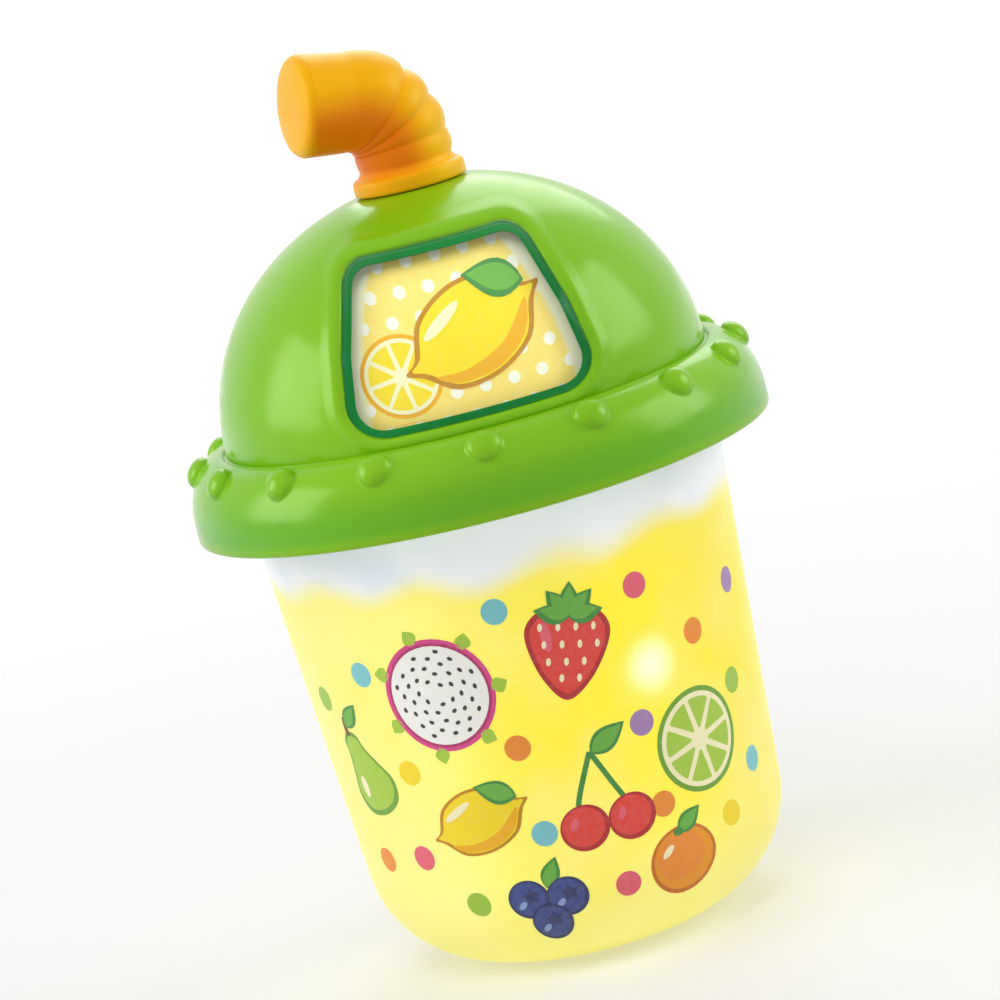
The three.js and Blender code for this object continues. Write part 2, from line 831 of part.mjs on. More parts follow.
// Centre, direction and radius of the straw's tube at a share of its length, in the XZ plane
function strawStation(travelled) {
  const bendLength = straw.elbowRadius * straw.elbowTurn;
  const rise = straw.elbowHeight;
  const bendCentre = new THREE.Vector2(-straw.elbowRadius, neckFoot + rise);
  if (travelled <= rise) {
    return { at: new THREE.Vector2(0, neckFoot + travelled), heading: 0 };
  }
  const heading = Math.min((travelled - rise) / straw.elbowRadius, straw.elbowTurn);
  const at = new THREE.Vector2(
    bendCentre.x + straw.elbowRadius * Math.cos(heading),
    bendCentre.y + straw.elbowRadius * Math.sin(heading),
  );
  const beyond = Math.max(0, travelled - rise - bendLength);
  at.x -= beyond * Math.sin(heading);
  at.y += beyond * Math.cos(heading);
  return { at, heading };
}

// Closed loft of round sections along the straw, with ribs that fan out on the elbow's outside
function strawTube() {
  const bendLength = straw.elbowRadius * straw.elbowTurn;
  const ribStart = straw.elbowHeight - straw.ribProud;
  const ribLength = bendLength + straw.ribProud;
  const total = straw.elbowHeight + bendLength + straw.mouthLength;
  const stations = [];
  const plain = (travelled, radius) => stations.push({ travelled, radius, rib: 0 });
  plain(straw.flangeThick - straw.flangeRound, straw.neckRadius);
  const perRib = 4;
  for (let i = 0; i <= straw.ribs * perRib; i += 1) {
    const along = i / (straw.ribs * perRib);
    const rib = Math.sin((Math.PI * (i % perRib)) / perRib);
    const radius = THREE.MathUtils.lerp(straw.neckRadius, straw.elbowTubeRadius, along);
    stations.push({ travelled: ribStart + ribLength * along, radius, rib: rib * straw.ribProud });
  }
  const mouthStart = straw.elbowHeight + bendLength;
  for (let i = 1; i <= MOUTH_STEPS; i += 1) {
    const along = i / MOUTH_STEPS;
    const travelled = mouthStart + (straw.mouthLength - straw.endRound) * along;
    plain(travelled, THREE.MathUtils.lerp(straw.elbowTubeRadius, straw.mouthRadius, along ** 0.6));
  }
  for (let i = 1; i <= MOUTH_STEPS; i += 1) {
    const angle = (Math.PI / 2) * (i / MOUTH_STEPS);
    plain(
      total - straw.endRound + straw.endRound * Math.sin(angle),
      straw.mouthRadius - straw.endRound + straw.endRound * Math.cos(angle),
    );
  }
  const rings = stations.map(({ travelled, radius, rib }) => {
    const { at, heading } = strawStation(travelled);
    return Array.from({ length: FACETS.straw }, (_, i) => {
      const angle = (2 * Math.PI * i) / FACETS.straw;
      const out = radius + rib * ((1 + Math.cos(angle)) / 2);
      const across = out * Math.cos(angle);
      return [
        at.x + across * Math.cos(heading),
        out * Math.sin(angle),
        at.y + across * Math.sin(heading),
      ];
    });
  });
  return loft(rings);
}

// Closed solid through rings of points, capped flat at both ends
function loft(rings) {
  const positions = [];
  const face = (...points) => points.forEach((point) => positions.push(...point));
  const centreOf = (ring) => [0, 1, 2].map((k) => ring.reduce((sum, p) => sum + p[k], 0) / ring.length);
  const first = rings[0];
  const last = rings[rings.length - 1];
  const [foot, head] = [centreOf(first), centreOf(last)];
  first.forEach((point, i) => {
    const next = (i + 1) % first.length;
    face(foot, first[next], point);
    face(head, last[i], last[next]);
    for (let k = 0; k + 1 < rings.length; k += 1) {
      const [low, high] = [rings[k], rings[k + 1]];
      face(low[i], low[next], high[next]);
      face(low[i], high[next], high[i]);
    }
  });
  const geometry = new THREE.BufferGeometry();
  geometry.setAttribute("position", new THREE.Float32BufferAttribute(positions, 3));
  return toSolid(geometry);
}

function strawSolid() {
  const edge = new THREE.Vector2(
    straw.flangeRadius - straw.flangeRound,
    neckFoot + straw.flangeThick - straw.flangeRound,
  );
  const flange = revolved(
    [
      ...outlineOf([0, neckFoot], [straw.flangeRadius, neckFoot]),
      ...ellipsePoints(edge, straw.flangeRound, straw.flangeRound, 0, Math.PI / 2, 4),
      ...outlineOf([0, neckFoot + straw.flangeThick]),
    ],
    FACETS.cup,
  );
  const bore = rodZ(
    shaft.radius + GAP,
    neckFoot - OVERRUN,
    neckFoot + straw.socketDepth,
    0,
    0,
    FACETS.wheel,
  );
  return turned(cutBy(joined(flange, strawTube()), bore), straw.restTurn);
}

const drumTop = hubBottom - washer.thick - 2 * GAP;
const socketFloor = drumTop - drum.socketDepth;
const screwLedge = socketFloor - drum.hubFloor;

function strawShaft() {
  const low = socketFloor + GAP;
  const high = neckFoot + straw.socketDepth - GAP;
  const pilotTop = low + shaft.pilotDepth;
  const pilot = screw.big.shank + GAP;
  return revolved(
    outlineOf(
      [pilot, low],
      [shaft.radius, low],
      [shaft.radius, high],
      [0, high],
      [0, pilotTop],
      [pilot, pilotTop],
    ),
    FACETS.wheel,
  );
}

function spindleWasher() {
  const low = drumTop + GAP;
  const inner = shaft.radius + GAP;
  return revolved(
    outlineOf(
      [inner, low],
      [washer.radius, low],
      [washer.radius, hubBottom - GAP],
      [inner, hubBottom - GAP],
    ),
    FACETS.wheel,
  );
}

const camBottom = plate.top + GAP + positionBoard.thick + wiper.rise;
const pivotBottom = camBottom - drum.pivotLength;

// Picture drum: a dome-shaped shell on a hub, with a notched cam and a pivot below
function pictureDrum() {
  const capRadius = drumCapRadius(drum.inset);
  const outer = drumCurve(drum.inset, capRadius);
  const innerInset = drum.inset + drum.wall;
  const inner = drumCurve(innerInset, drumCapRadius(innerInset)).reverse();
  const profile = [
    ...outlineOf([drum.radius, drum.skirtBottom]),
    ...outer,
    ...outlineOf(
      [shaft.radius + GAP, drumTop],
      [shaft.radius + GAP, socketFloor],
      [screw.big.shank + GAP, socketFloor],
      [screw.big.shank + GAP, screwLedge],
      [drum.pivotBore, screwLedge],
      [drum.pivotBore, pivotBottom],
      [drum.pivotRadius, pivotBottom],
      [drum.pivotRadius, camBottom],
      [drum.camRadius, camBottom],
      [drum.camRadius, camBottom + drum.camThick],
      [drum.hubRadius, camBottom + drum.camThick],
      [drum.hubRadius, drumTop - drum.wall],
    ),
    ...inner,
    ...outlineOf([drum.radius - drum.wall, drum.skirtBottom]),
  ];
  const notches = Array.from({ length: drum.camNotches }, (_, i) => {
    const reach = drum.camRadius + drum.camNotchRadius - drum.camNotchDepth;
    const notch = rodZ(
      drum.camNotchRadius,
      camBottom - GAP,
      camBottom + drum.camThick + GAP,
      reach,
      0,
      FACETS.screw,
    );
    return turned(notch, (2 * Math.PI * i) / drum.camNotches);
  });
  return cutBy(revolved(profile, FACETS.drum), ...notches);
}

// Radius at which an inset of the dome reaches the drum's flat cap
function drumCapRadius(inset) {
  const cap = inset === drum.inset ? drumTop : drumTop - drum.wall;
  const share = ((cap - dome.base) / (dome.height - inset)) ** dome.roundness;
  return (dome.radius - inset) * (1 - share) ** (1 / dome.roundness);
}

function drumCurve(inset, capRadius) {
  return domeCurve(inset, capRadius, DOME_STEPS.inside);
}

function drumScrew() {
  return screwSolid(screw.big).translate([0, 0, screwLedge - GAP]);
}

// Contact plate under the cam: a ring with fingers that reach over the position board
function wiperContact() {
  const high = camBottom - GAP;
  const low = high - wiper.thick;
  const ring = revolved(
    outlineOf(
      [drum.pivotRadius + GAP, low],
      [drum.camRadius, low],
      [drum.camRadius, high],
      [drum.pivotRadius + GAP, high],
    ),
    FACETS.wheel,
  );
  const fingers = Array.from({ length: wiper.fingers }, (_, i) => {
    const finger = block(
      (drum.pivotRadius + drum.camRadius) / 2,
      wiper.tipRadius,
      -wiper.fingerHalfWidth,
      wiper.fingerHalfWidth,
      low,
      high,
    );
    return turned(finger, (2 * Math.PI * i) / wiper.fingers);
  });
  return joined(ring, ...fingers);
}

// Plate and what stands on it

function mechanismPlate() {
  const disc = rodZ(cup.flangeRadius, plate.bottom, plate.top, 0, 0, FACETS.lid);
  const bearing = rodZ(
    drum.pivotRadius + GAP + plate.bearingWall,
    plate.bottom - plate.bearingRise,
    plate.top,
    0,
    0,
    FACETS.wheel,
  );
  const hole = rodZ(
    drum.pivotRadius + GAP,
    plate.bottom - plate.bearingRise - OVERRUN,
    plate.top + OVERRUN,
    0,
    0,
    FACETS.wheel,
  );
  const post = block(
    detent.postPlace,
    detent.postPlace + 2 * detent.postHalf,
    -detent.postHalf,
    detent.postHalf,
    plate.top - wallMiddle,
    camBottom + drum.camThick,
  );
  const slot = block(
    -plate.slotHalfWidth,
    plate.slotHalfWidth,
    plate.slotPlace,
    plate.slotPlace + plate.slotDepth,
    plate.bottom - OVERRUN,
    plate.top + OVERRUN,
  );
  return cutBy(joined(disc, bearing, post), hole, slot);
}

// Leaf spring from the post to the cam, with a round nose that faces the notches
function detentSpring() {
  const low = camBottom + (drum.camThick - detent.height) / 2;
  const tip = drum.camRadius + GAP;
  const back = detent.postPlace - GAP;
  const high = low + detent.height;
  const nose = rodZ(detent.noseRadius, low, high, tip + detent.noseRadius, 0, FACETS.screw);
  const leaf = block(
    tip + detent.noseRadius,
    back,
    -detent.strip / 2,
    detent.strip / 2,
    low,
    high,
  );
  const foot = block(
    back - detent.strip,
    back,
    -detent.foot / 2,
    detent.foot / 2,
    low,
    high,
  );
  return joined(nose, leaf, foot);
}

function positionBoardRing() {
  const low = plate.top + GAP;
  return revolved(
    outlineOf(
      [positionBoard.innerRadius, low],
      [positionBoard.outerRadius, low],
      [positionBoard.outerRadius, low + positionBoard.thick],
      [positionBoard.innerRadius, low + positionBoard.thick],
    ),
    FACETS.cup,
  );
}

// Flat cable from the position board's edge, through the plate and down to the main board
function ribbonCable() {
  const across = plate.slotPlace + plate.slotDepth / 2;
  const start = plate.top + GAP + positionBoard.thick / 2;
  const route = outlineOf(
    [positionBoard.outerRadius + GAP, start],
    [across, start],
    [across, plate.bottom - ribbon.bend],
    [board.back - board.thick / 2, board.high + ribbon.bend + OVERRUN],
    [board.back - board.thick / 2, board.high + GAP],
  );
  const half = ribbon.thick / 2;
  const sides = [half, -half].map((offset) => route.map((point, i) => besideRoute(route, i, offset)));
  const outline = [...sides[0], ...sides[1].reverse()];
  const shape = new THREE.Shape(outline);
  const slab = new THREE.ExtrudeGeometry(shape, { depth: 2 * ribbon.halfWidth, bevelEnabled: false });
  slab.rotateX(Math.PI / 2).rotateZ(Math.PI / 2).translate(-ribbon.halfWidth, 0, 0);
  return toSolid(slab);
}

// A point beside a corner of a route, mitred
function besideRoute(route, i, offset) {
  const at = route[i];
  const before = route[Math.max(i - 1, 0)];
  const after = route[Math.min(i + 1, route.length - 1)];
  const into = at.clone().sub(before);
  const on = after.clone().sub(at);
  const first = (into.length() ? into : on).clone().normalize();
  const second = (on.length() ? on : into).clone().normalize();
  const normal = new THREE.Vector2(-first.y - second.y, first.x + second.x).normalize();
  const mitre = normal.x * -first.y + normal.y * first.x;
  return at.clone().addScaledVector(normal, offset / mitre);
}

// Battery box and cells

function earPlace() {
  return box.halfLength + box.wall + box.earReach / 2;
}

function batteryBox() {
  const outerHalf = box.halfLength + box.wall;
  const shellSpace = cupSpace(cup.wall + GAP, cup.flangeBottom);
  const doorSpace = doorPrism(-GAP).intersect(
    cutBy(cupSpace(0, cup.flangeBottom), cupSpace(cup.wall + door.rebate, cup.flangeBottom)),
  );
  const outer = block(
    -outerHalf,
    outerHalf,
    box.front,
    rim.radius,
    box.pocketLow - box.wall,
    box.pocketHigh + box.wall,
  ).intersect(cutBy(shellSpace, doorSpace));
  const pocket = block(
    -box.halfLength,
    box.halfLength,
    box.pocketFront,
    rim.radius,
    box.pocketLow,
    box.pocketHigh,
  );
  const ears = block(
    -outerHalf - box.earReach,
    outerHalf + box.earReach,
    box.front,
    box.front + box.earThick,
    box.middle - box.earHalf,
    box.middle + box.earHalf,
  );
  const earHoles = [-1, 1].map((side) =>
    rodY(screw.small.shank + GAP, 0, rim.radius, side * earPlace(), box.middle),
  );
  const post = rodY(box.screwPost, box.front, doorBossFront() - GAP, 0, box.screwHeight);
  const web = block(
    -box.screwPost,
    box.screwPost,
    box.front,
    doorBossFront() - box.wall,
    box.pocketHigh,
    box.screwHeight,
  );
  const postHole = rodY(
    screw.small.shank + GAP,
    doorBossFront() - screw.small.shankLength - OVERRUN,
    rim.radius,
    0,
    box.screwHeight,
  );
  const standoffs = [-1, 1].map((side) =>
    rodY(
      board.standoffRadius,
      board.back + GAP,
      box.front + wallMiddle,
      side * board.screwPlace,
      box.middle,
    ),
  );
  const standoffHoles = [-1, 1].map((side) =>
    rodY(
      screw.small.shank + GAP,
      board.back,
      board.front + screw.small.shankLength,
      side * board.screwPlace,
      box.middle,
    ),
  );
  const bossRoom = rodY(door.bossRadius + GAP, doorBossFront() - GAP, rim.radius, 0, box.screwHeight);
  const frame = joined(outer, ears, post, web, ...standoffs);
  return cutBy(frame, pocket, bossRoom, ...earHoles, postHole, ...standoffHoles);
}

function screwAlongY(kind, x, y, z, direction) {
  return screwSolid(kind)
    .rotate([direction > 0 ? -90 : 90, 0, 0])
    .translate([x, y, z]);
}

function cellHeight(index) {
  return cell.firstHeight + cell.pitch * index;
}

// A cell with its raised positive button; odd cells lie the other way round
function batteryCell(index) {
  const side = index % 2 ? -1 : 1;
  const middle = (box.springRoom - box.tabRoom) / 2;
  const button = cell.radius / 3;
  const body = rodX(
    cell.radius,
    -cell.bodyLength / 2,
    cell.bodyLength / 2 - button / 2,
    cell.depthPlace,
    0,
    FACETS.wheel,
  );
  const tip = rodX(button, 0, cell.bodyLength / 2, cell.depthPlace, 0, FACETS.screw);
  const whole = joined(body, tip);
  const placed = side > 0 ? whole : whole.mirror([1, 0, 0]);
  return placed.translate([side * middle, 0, cellHeight(index)]);
}

// A contact plate on an end wall of the pocket, with a spring cone at the heights given
function contactPlate(side, heights, springs) {
  const wallFace = side * (box.halfLength - GAP);
  const inward = wallFace - side * contact.thick;
  const [x0, x1] = [Math.min(wallFace, inward), Math.max(wallFace, inward)];
  const plateSolid = block(
    x0,
    x1,
    cell.depthPlace - contact.halfWidth,
    cell.depthPlace + contact.halfWidth,
    Math.min(...heights) - contact.halfWidth,
    Math.max(...heights) + contact.halfWidth,
  );
  const length = box.springRoom - contact.thick - 2 * GAP;
  const cones = springs.map((height) => {
    const cone = new THREE.CylinderGeometry(
      contact.springTip,
      contact.springRadius,
      length + contact.thick / 2,
      FACETS.screw,
    );
    cone.rotateZ((side * Math.PI) / 2);
    cone.translate(inward - (side * (length - contact.thick / 2)) / 2, cell.depthPlace, height);
    return toSolid(cone);
  });
  return joined(plateSolid, ...cones);
}

// Battery door

function doorBossFront() {
  return cupRadius(box.screwHeight) - cup.wall - door.bossWall - screw.small.headThick;
}

function batteryDoor() {
  const outline = doorPrism(GAP);
  const wallSkin = cutBy(cupSpace(0, cup.flangeBottom), cupSpace(cup.wall, cup.flangeBottom));
  const skin = wallSkin.intersect(outline);
  const boss = rodY(door.bossRadius, doorBossFront(), rim.radius, 0, box.screwHeight);
  const keep = cupSpace(wallMiddle, cup.flangeBottom);
  const recess = rodY(
    screw.small.head + GAP,
    doorBossFront() + door.bossWall,
    rim.radius,
    0,
    box.screwHeight,
  );
  const hole = rodY(screw.small.shank + GAP, 0, rim.radius, 0, box.screwHeight);
  return cutBy(joined(skin, boss.intersect(keep).intersect(outline)), recess, hole);
}

function doorScrew() {
  return screwAlongY(screw.small, 0, doorBossFront() + door.bossWall + GAP, box.screwHeight, -1);
}

// Speaker

function speakerSolid() {
  const back = speaker.front - speaker.thick;
  const profile = outlineOf(
    [0, back - speaker.magnetThick],
    [speaker.magnetRadius, back - speaker.magnetThick],
    [speaker.magnetRadius, back],
    [speaker.radius, speaker.front - speaker.thick / 2],
    [speaker.radius, speaker.front],
    [speaker.radius - speaker.ringWall, speaker.front],
    [speaker.magnetRadius, speaker.front - speaker.thick / 3],
    [0, speaker.front - speaker.thick / 4],
  );
  return revolved(profile, FACETS.wheel).rotate([-90, 0, 0]).translate([0, 0, speaker.height]);
}

function speakerClamp() {
  const back = clamp.bossFront - GAP;
  const bar = block(
    -clamp.halfWidth,
    clamp.halfWidth,
    back - clamp.thick,
    back,
    speaker.height - clamp.halfHeight,
    speaker.height + clamp.halfHeight,
  );
  const collar = rodY(
    speaker.magnetRadius + GAP + clamp.thick,
    back - clamp.thick,
    back,
    0,
    speaker.height,
    FACETS.wheel,
  );
  const window = rodY(
    speaker.magnetRadius + GAP,
    0,
    rim.radius,
    0,
    speaker.height,
    FACETS.wheel,
  );
  const holes = [-1, 1].map((side) =>
    rodY(screw.small.shank + GAP, 0, rim.radius, side * clamp.bossPlace, speaker.height),
  );
  return cutBy(joined(bar, collar), window, ...holes);
}

// Twin lead from the main board's back to the speaker
function speakerLead() {
  const back = speaker.front - speaker.thick - speaker.magnetThick;
  const curve = new THREE.CatmullRomCurve3([
    new THREE.Vector3(-board.lampPlace, board.back + GAP, board.high - board.lampRadius),
    new THREE.Vector3(-board.lampPlace, board.back + board.standoff, board.high - board.lampRadius),
    new THREE.Vector3(-board.chipRadius, back - board.standoff, speaker.height),
    new THREE.Vector3(-board.chipRadius, back - GAP, speaker.height),
  ]);
  const ring = ellipsePoints(new THREE.Vector2(), lead.radius, lead.radius, 0, 2 * Math.PI, lead.facets);
  const section = new THREE.Shape(ring.slice(0, -1));
  return toSolid(new THREE.ExtrudeGeometry(section, { steps: lead.steps, extrudePath: curve }));
}

// Slide switch

function switchBody() {
  const front = toggleFace - cup.wall - GAP;
  const body = block(
    -toggle.bodyHalfWidth,
    toggle.bodyHalfWidth,
    front - toggle.bodyThick,
    front,
    toggle.height - toggle.bodyHalfHeight,
    toggle.height + toggle.bodyHalfHeight,
  );
  const channel = block(
    -toggleSlotHalfWidth(),
    toggleSlotHalfWidth(),
    front - toggle.bodyThick / 2,
    rim.radius,
    toggle.height - toggle.knobHalfHeight - GAP,
    toggle.height + toggle.knobHalfHeight + GAP,
  );
  return turned(cutBy(body, channel), toggle.turn);
}

// Knob of the slide switch, with three finger ridges on its face
function switchKnob() {
  const front = toggleFace - cup.wall - GAP;
  const face = toggleFace + toggle.recessDepth + toggle.knobProud;
  const stem = block(
    -toggle.knobHalfWidth,
    toggle.knobHalfWidth,
    front - toggle.bodyThick / 2 + GAP,
    face,
    toggle.height - toggle.knobHalfHeight,
    toggle.height + toggle.knobHalfHeight,
  );
  const ridges = [-1, 0, 1].map((step) => {
    const x = (step * toggle.knobHalfWidth * 2) / 3;
    return block(
      x - toggle.ridge / 2,
      x + toggle.ridge / 2,
      face - toggle.ridge,
      face + toggle.ridge,
      toggle.height - toggle.knobHalfHeight,
      toggle.height + toggle.knobHalfHeight,
    );
  });
  return turned(joined(stem, ...ridges), toggle.turn);
}

// Main board and its parts

function mainBoard() {
  const middle = (board.low + board.high) / 2;
  const halfHeight = (board.high - board.low) / 2;
  const corner = board.standoffRadius;
  const panel = drawnThroughY(
    roundedRectangle(board.halfWidth, halfHeight, corner, 0, middle),
    board.front,
    board.back,
  );
  const holes = [-1, 1].map((side) =>
    rodY(screw.small.shank + GAP, 0, rim.radius, side * board.screwPlace, box.middle),
  );
  return cutBy(panel, ...holes);
}

function boardLamp(x, height) {
  const back = board.front - GAP;
  const { lampRadius, lampLength } = board;
  const tube = new THREE.CylinderGeometry(lampRadius, lampRadius, lampLength, FACETS.screw);
  tube.translate(x, back - lampLength / 2, height);
  const tip = new THREE.SphereGeometry(lampRadius, FACETS.screw, FACETS.screw / 2);
  tip.translate(x, back - lampLength, height);
  return joined(toSolid(tube), toSolid(tip));
}

function controllerChip() {
  const back = board.front - GAP;
  const dot = new THREE.SphereGeometry(1, FACETS.boss, FACETS.screw);
  dot.scale(board.chipRadius, board.chipThick, board.chipRadius);
  dot.translate(0, back, board.chipHeight);
  return toSolid(dot).intersect(
    block(-board.chipRadius, board.chipRadius, 0, back, board.low, board.high),
  );
}

function motionSensor() {
  const back = board.front - GAP;
  return rodY(
    board.sensorRadius,
    back - board.sensorLength,
    back,
    -board.sensorPlace,
    board.sensorHeight,
  );
}

// The whole toy, grouped as it comes apart

const green = plastic(colours.lidGreen, 0.32);
const orange = plastic(colours.strawOrange, 0.35);
const milky = plastic(colours.cupYellow, 0.4);
const white = plastic(colours.white, 0.5);
const clear = plastic(colours.clear, 0.08);
const boardMaterial = plastic(colours.boardGreen, 0.45);
const steel = metal(colours.steel);
const black = plastic(colours.black, 0.5);
const grey = plastic(colours.grey, 0.5);
const lamp = plastic(colours.lampWhite, 0.2);
const cellSkin = plastic(colours.cellBlue, 0.4);
const copper = metal(colours.copper, 0.4);

const lid = new THREE.Group();
lid.add(
  toMesh("lid_dome", lidDome(), green),
  toMesh("window_lens", windowLens(), clear),
  toMesh("lid_base", lidBaseRing(), green),
);
for (let i = 0; i < lidBase.screws; i += 1) {
  lid.add(toMesh(`lid_screw_${i + 1}`, lidScrew(i), steel));
}

const mechanism = new THREE.Group();
mechanism.add(
  toMesh("mechanism_plate", mechanismPlate(), white),
  toMesh("detent_spring", detentSpring(), steel),
  toMesh("position_board", positionBoardRing(), boardMaterial),
  toMesh("ribbon_cable", ribbonCable(), grey),
);

const turning = new THREE.Group();
turning.add(
  toMesh("straw", strawSolid(), orange),
  toMesh("straw_shaft", strawShaft(), white),
  toMesh("spindle_washer", spindleWasher(), steel),
  toMesh("picture_drum", pictureDrum(), white),
  toMesh("drum_screw", drumScrew(), steel),
  toMesh("wiper_contact", wiperContact(), copper),
);

const cupGroup = new THREE.Group();
cupGroup.add(toMesh("cup_shell", cupShell(), milky), toMesh("top_liner", topLiner(), white));

const power = new THREE.Group();
const cellHeights = [cellHeight(0), cellHeight(1)];
power.add(
  toMesh("battery_box", batteryBox(), white),
  toMesh("battery_cell_lower", batteryCell(0), cellSkin),
  toMesh("battery_cell_upper", batteryCell(1), cellSkin),
  toMesh("battery_door", batteryDoor(), milky),
  toMesh("door_screw", doorScrew(), steel),
);

const electronics = new THREE.Group();
electronics.add(
  toMesh("main_board", mainBoard(), boardMaterial),
  toMesh("controller_chip", controllerChip(), black),
  toMesh("motion_sensor", motionSensor(), steel),
  toMesh("lamp_left", boardLamp(-board.lampPlace, board.lampHeight), lamp),
  toMesh("lamp_right", boardLamp(board.lampPlace, board.lampHeight), lamp),
  toMesh("lamp_low", boardLamp(0, board.lowLampHeight), lamp),
  toMesh("speaker", speakerSolid(), black),
  toMesh("speaker_clamp", speakerClamp(), white),
  toMesh("speaker_lead", speakerLead(), black),
  toMesh("switch_body", switchBody(), black),
  toMesh("switch_knob", switchKnob(), white),
);
power.add(
  toMesh("bridge_contact", contactPlate(-1, cellHeights, [cellHeight(0)]), steel),
  toMesh("spring_contact", contactPlate(1, [cellHeight(1)], [cellHeight(1)]), steel),
  toMesh("tab_contact", contactPlate(1, [cellHeight(0)], []), steel),
);

// Pairs of small screws, driven from the front: battery box, main board and speaker clamp
const clampScrewPlace = clamp.bossFront - GAP - clamp.thick - GAP;
for (const [side, hand] of [[-1, "left"], [1, "right"]]) {
  const pair = [
    ["box_screw", earPlace(), box.front - GAP, box.middle],
    ["board_screw", board.screwPlace, board.front - GAP, box.middle],
    ["clamp_screw", clamp.bossPlace, clampScrewPlace, speaker.height],
  ];
  for (const [name, x, y, z] of pair) {
    electronics.add(toMesh(`${name}_${hand}`, screwAlongY(screw.small, side * x, y, z, 1), steel));
  }
}

const group = new THREE.Group();
group.add(lid, mechanism, turning, cupGroup, power, electronics);
export default group;
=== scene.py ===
# A toddler's smoothie-cup toy: its mouldings, clear window, prints and finishes, made round the
# fixed frame of its solids. Metres, +Z up. The window faces -Y and the battery door +Y.
import json
import math
from types import SimpleNamespace

import bpy
from mathutils import Matrix, Vector


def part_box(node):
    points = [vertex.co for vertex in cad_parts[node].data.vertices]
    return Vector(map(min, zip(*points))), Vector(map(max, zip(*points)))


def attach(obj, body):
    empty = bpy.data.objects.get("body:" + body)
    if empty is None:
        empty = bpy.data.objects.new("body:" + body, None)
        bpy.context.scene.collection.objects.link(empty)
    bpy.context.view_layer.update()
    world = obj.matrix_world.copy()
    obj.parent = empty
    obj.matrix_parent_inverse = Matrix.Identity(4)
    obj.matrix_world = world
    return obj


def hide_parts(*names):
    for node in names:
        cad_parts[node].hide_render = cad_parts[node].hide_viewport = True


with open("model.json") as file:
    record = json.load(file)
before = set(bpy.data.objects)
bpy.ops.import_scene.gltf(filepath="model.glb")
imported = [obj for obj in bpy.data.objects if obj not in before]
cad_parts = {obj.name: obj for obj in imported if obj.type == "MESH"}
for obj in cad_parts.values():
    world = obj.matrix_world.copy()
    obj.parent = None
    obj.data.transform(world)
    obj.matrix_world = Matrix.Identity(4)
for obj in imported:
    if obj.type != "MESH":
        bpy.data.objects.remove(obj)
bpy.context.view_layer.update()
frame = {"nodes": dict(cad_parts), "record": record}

# Sizes, the same as the solids' apart from the window's crest, the straw's ribs and small rounds

MM = 0.001
GAP = 0.3 * MM
WELD = 0.001 * MM
TURN = 2 * math.pi
QUARTER = math.pi / 2
SPIN_STEPS = 144


def middle_of(node):
    """The middle of a solid's box at rest."""
    low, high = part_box(node)
    return (low + high) / 2


cup = SimpleNamespace(
    foot=43.87 * MM,
    slope=6.56 / 101.8,
    corner=24 * MM,
    wall=2 * MM,
    flange_thick=1.8 * MM,
    flange_radius=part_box("cup_shell")[1].x,
    flange_top=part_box("cup_shell")[1].z,
    cut_end=20 * MM,
    brightest=(22.5 * MM, -40.5 * MM, 61 * MM),
)
cup.lean = math.atan(cup.slope)
cup.corner_tangent = cup.corner / math.tan((QUARTER + cup.lean) / 2)
cup.corner_top = cup.corner * (1 - math.sin(cup.lean))
cup.flange_bottom = cup.flange_top - cup.flange_thick

big_screw = SimpleNamespace(head=3.1 * MM, crown=1.9 * MM, shank=1.4 * MM, length=9 * MM)
small_screw = SimpleNamespace(head=2.5 * MM, crown=1.6 * MM, shank=1.1 * MM, length=6 * MM)

rim = SimpleNamespace(
    radius=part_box("lid_dome")[1].x,
    bottom=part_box("lid_dome")[0].z,
    edge_round=1 * MM,
    band=3.7 * MM,
    reach=8.5 * MM,
    rise=13.4 * MM,
    wall=2.2 * MM,
    lip_round=0.9 * MM,
    ring_round=0.5 * MM,
    clamp_low=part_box("mechanism_plate")[0].z + 4.1 * MM,
    clamp_wall=2 * MM,
    clamp_flare=3 * MM,
    post=2.9 * MM,
    screws=6,
    studs=16,
    stud_turn=math.radians(1.2),
    stud_place=math.radians(56),
    stud_across=3.7 * MM,
    stud_along=3.4 * MM,
    stud_proud=2.3 * MM,
)
rim.shoulder = rim.radius - rim.reach
rim.shoulder_start = rim.bottom + rim.band
rim.top = rim.shoulder_start + rim.rise

dome = SimpleNamespace(
    radius=rim.shoulder - 1.53 * MM,
    base=rim.top - 0.5 * MM,
    height=46.75 * MM,
    power=2.04,
    wall=2.2 * MM,
    seat=12.4 * MM,
    hub=9.3 * MM,
    hub_depth=5 * MM,
    bore=6.3 * MM,
)

pane = SimpleNamespace(
    turn=math.radians(2),
    bottom=dome.base + 2.5 * MM,
    height=35.3 * MM,
    half_top=18.6 * MM,
    half_middle=24 * MM,
    half_bottom=27 * MM,
    top_corner=6.5 * MM,
    side_corner=20 * MM,
    bottom_corner=7 * MM,
    cut_margin=1.6 * MM,
    lining_depth=2.15 * MM,
    lens_thick=1.5 * MM,
    lens_lap=2.6 * MM,
    lens_gap=0.25 * MM,
    lens_round=0.5 * MM,
    lens_sunk=0.55 * MM,
    face_back=1.65 * MM,
    ledge=1.7 * MM,
    ledge_front=1.75 * MM,
    step=0.8 * MM,
)
pane.top = pane.bottom + pane.height
pane.middle = (pane.top + pane.bottom) / 2

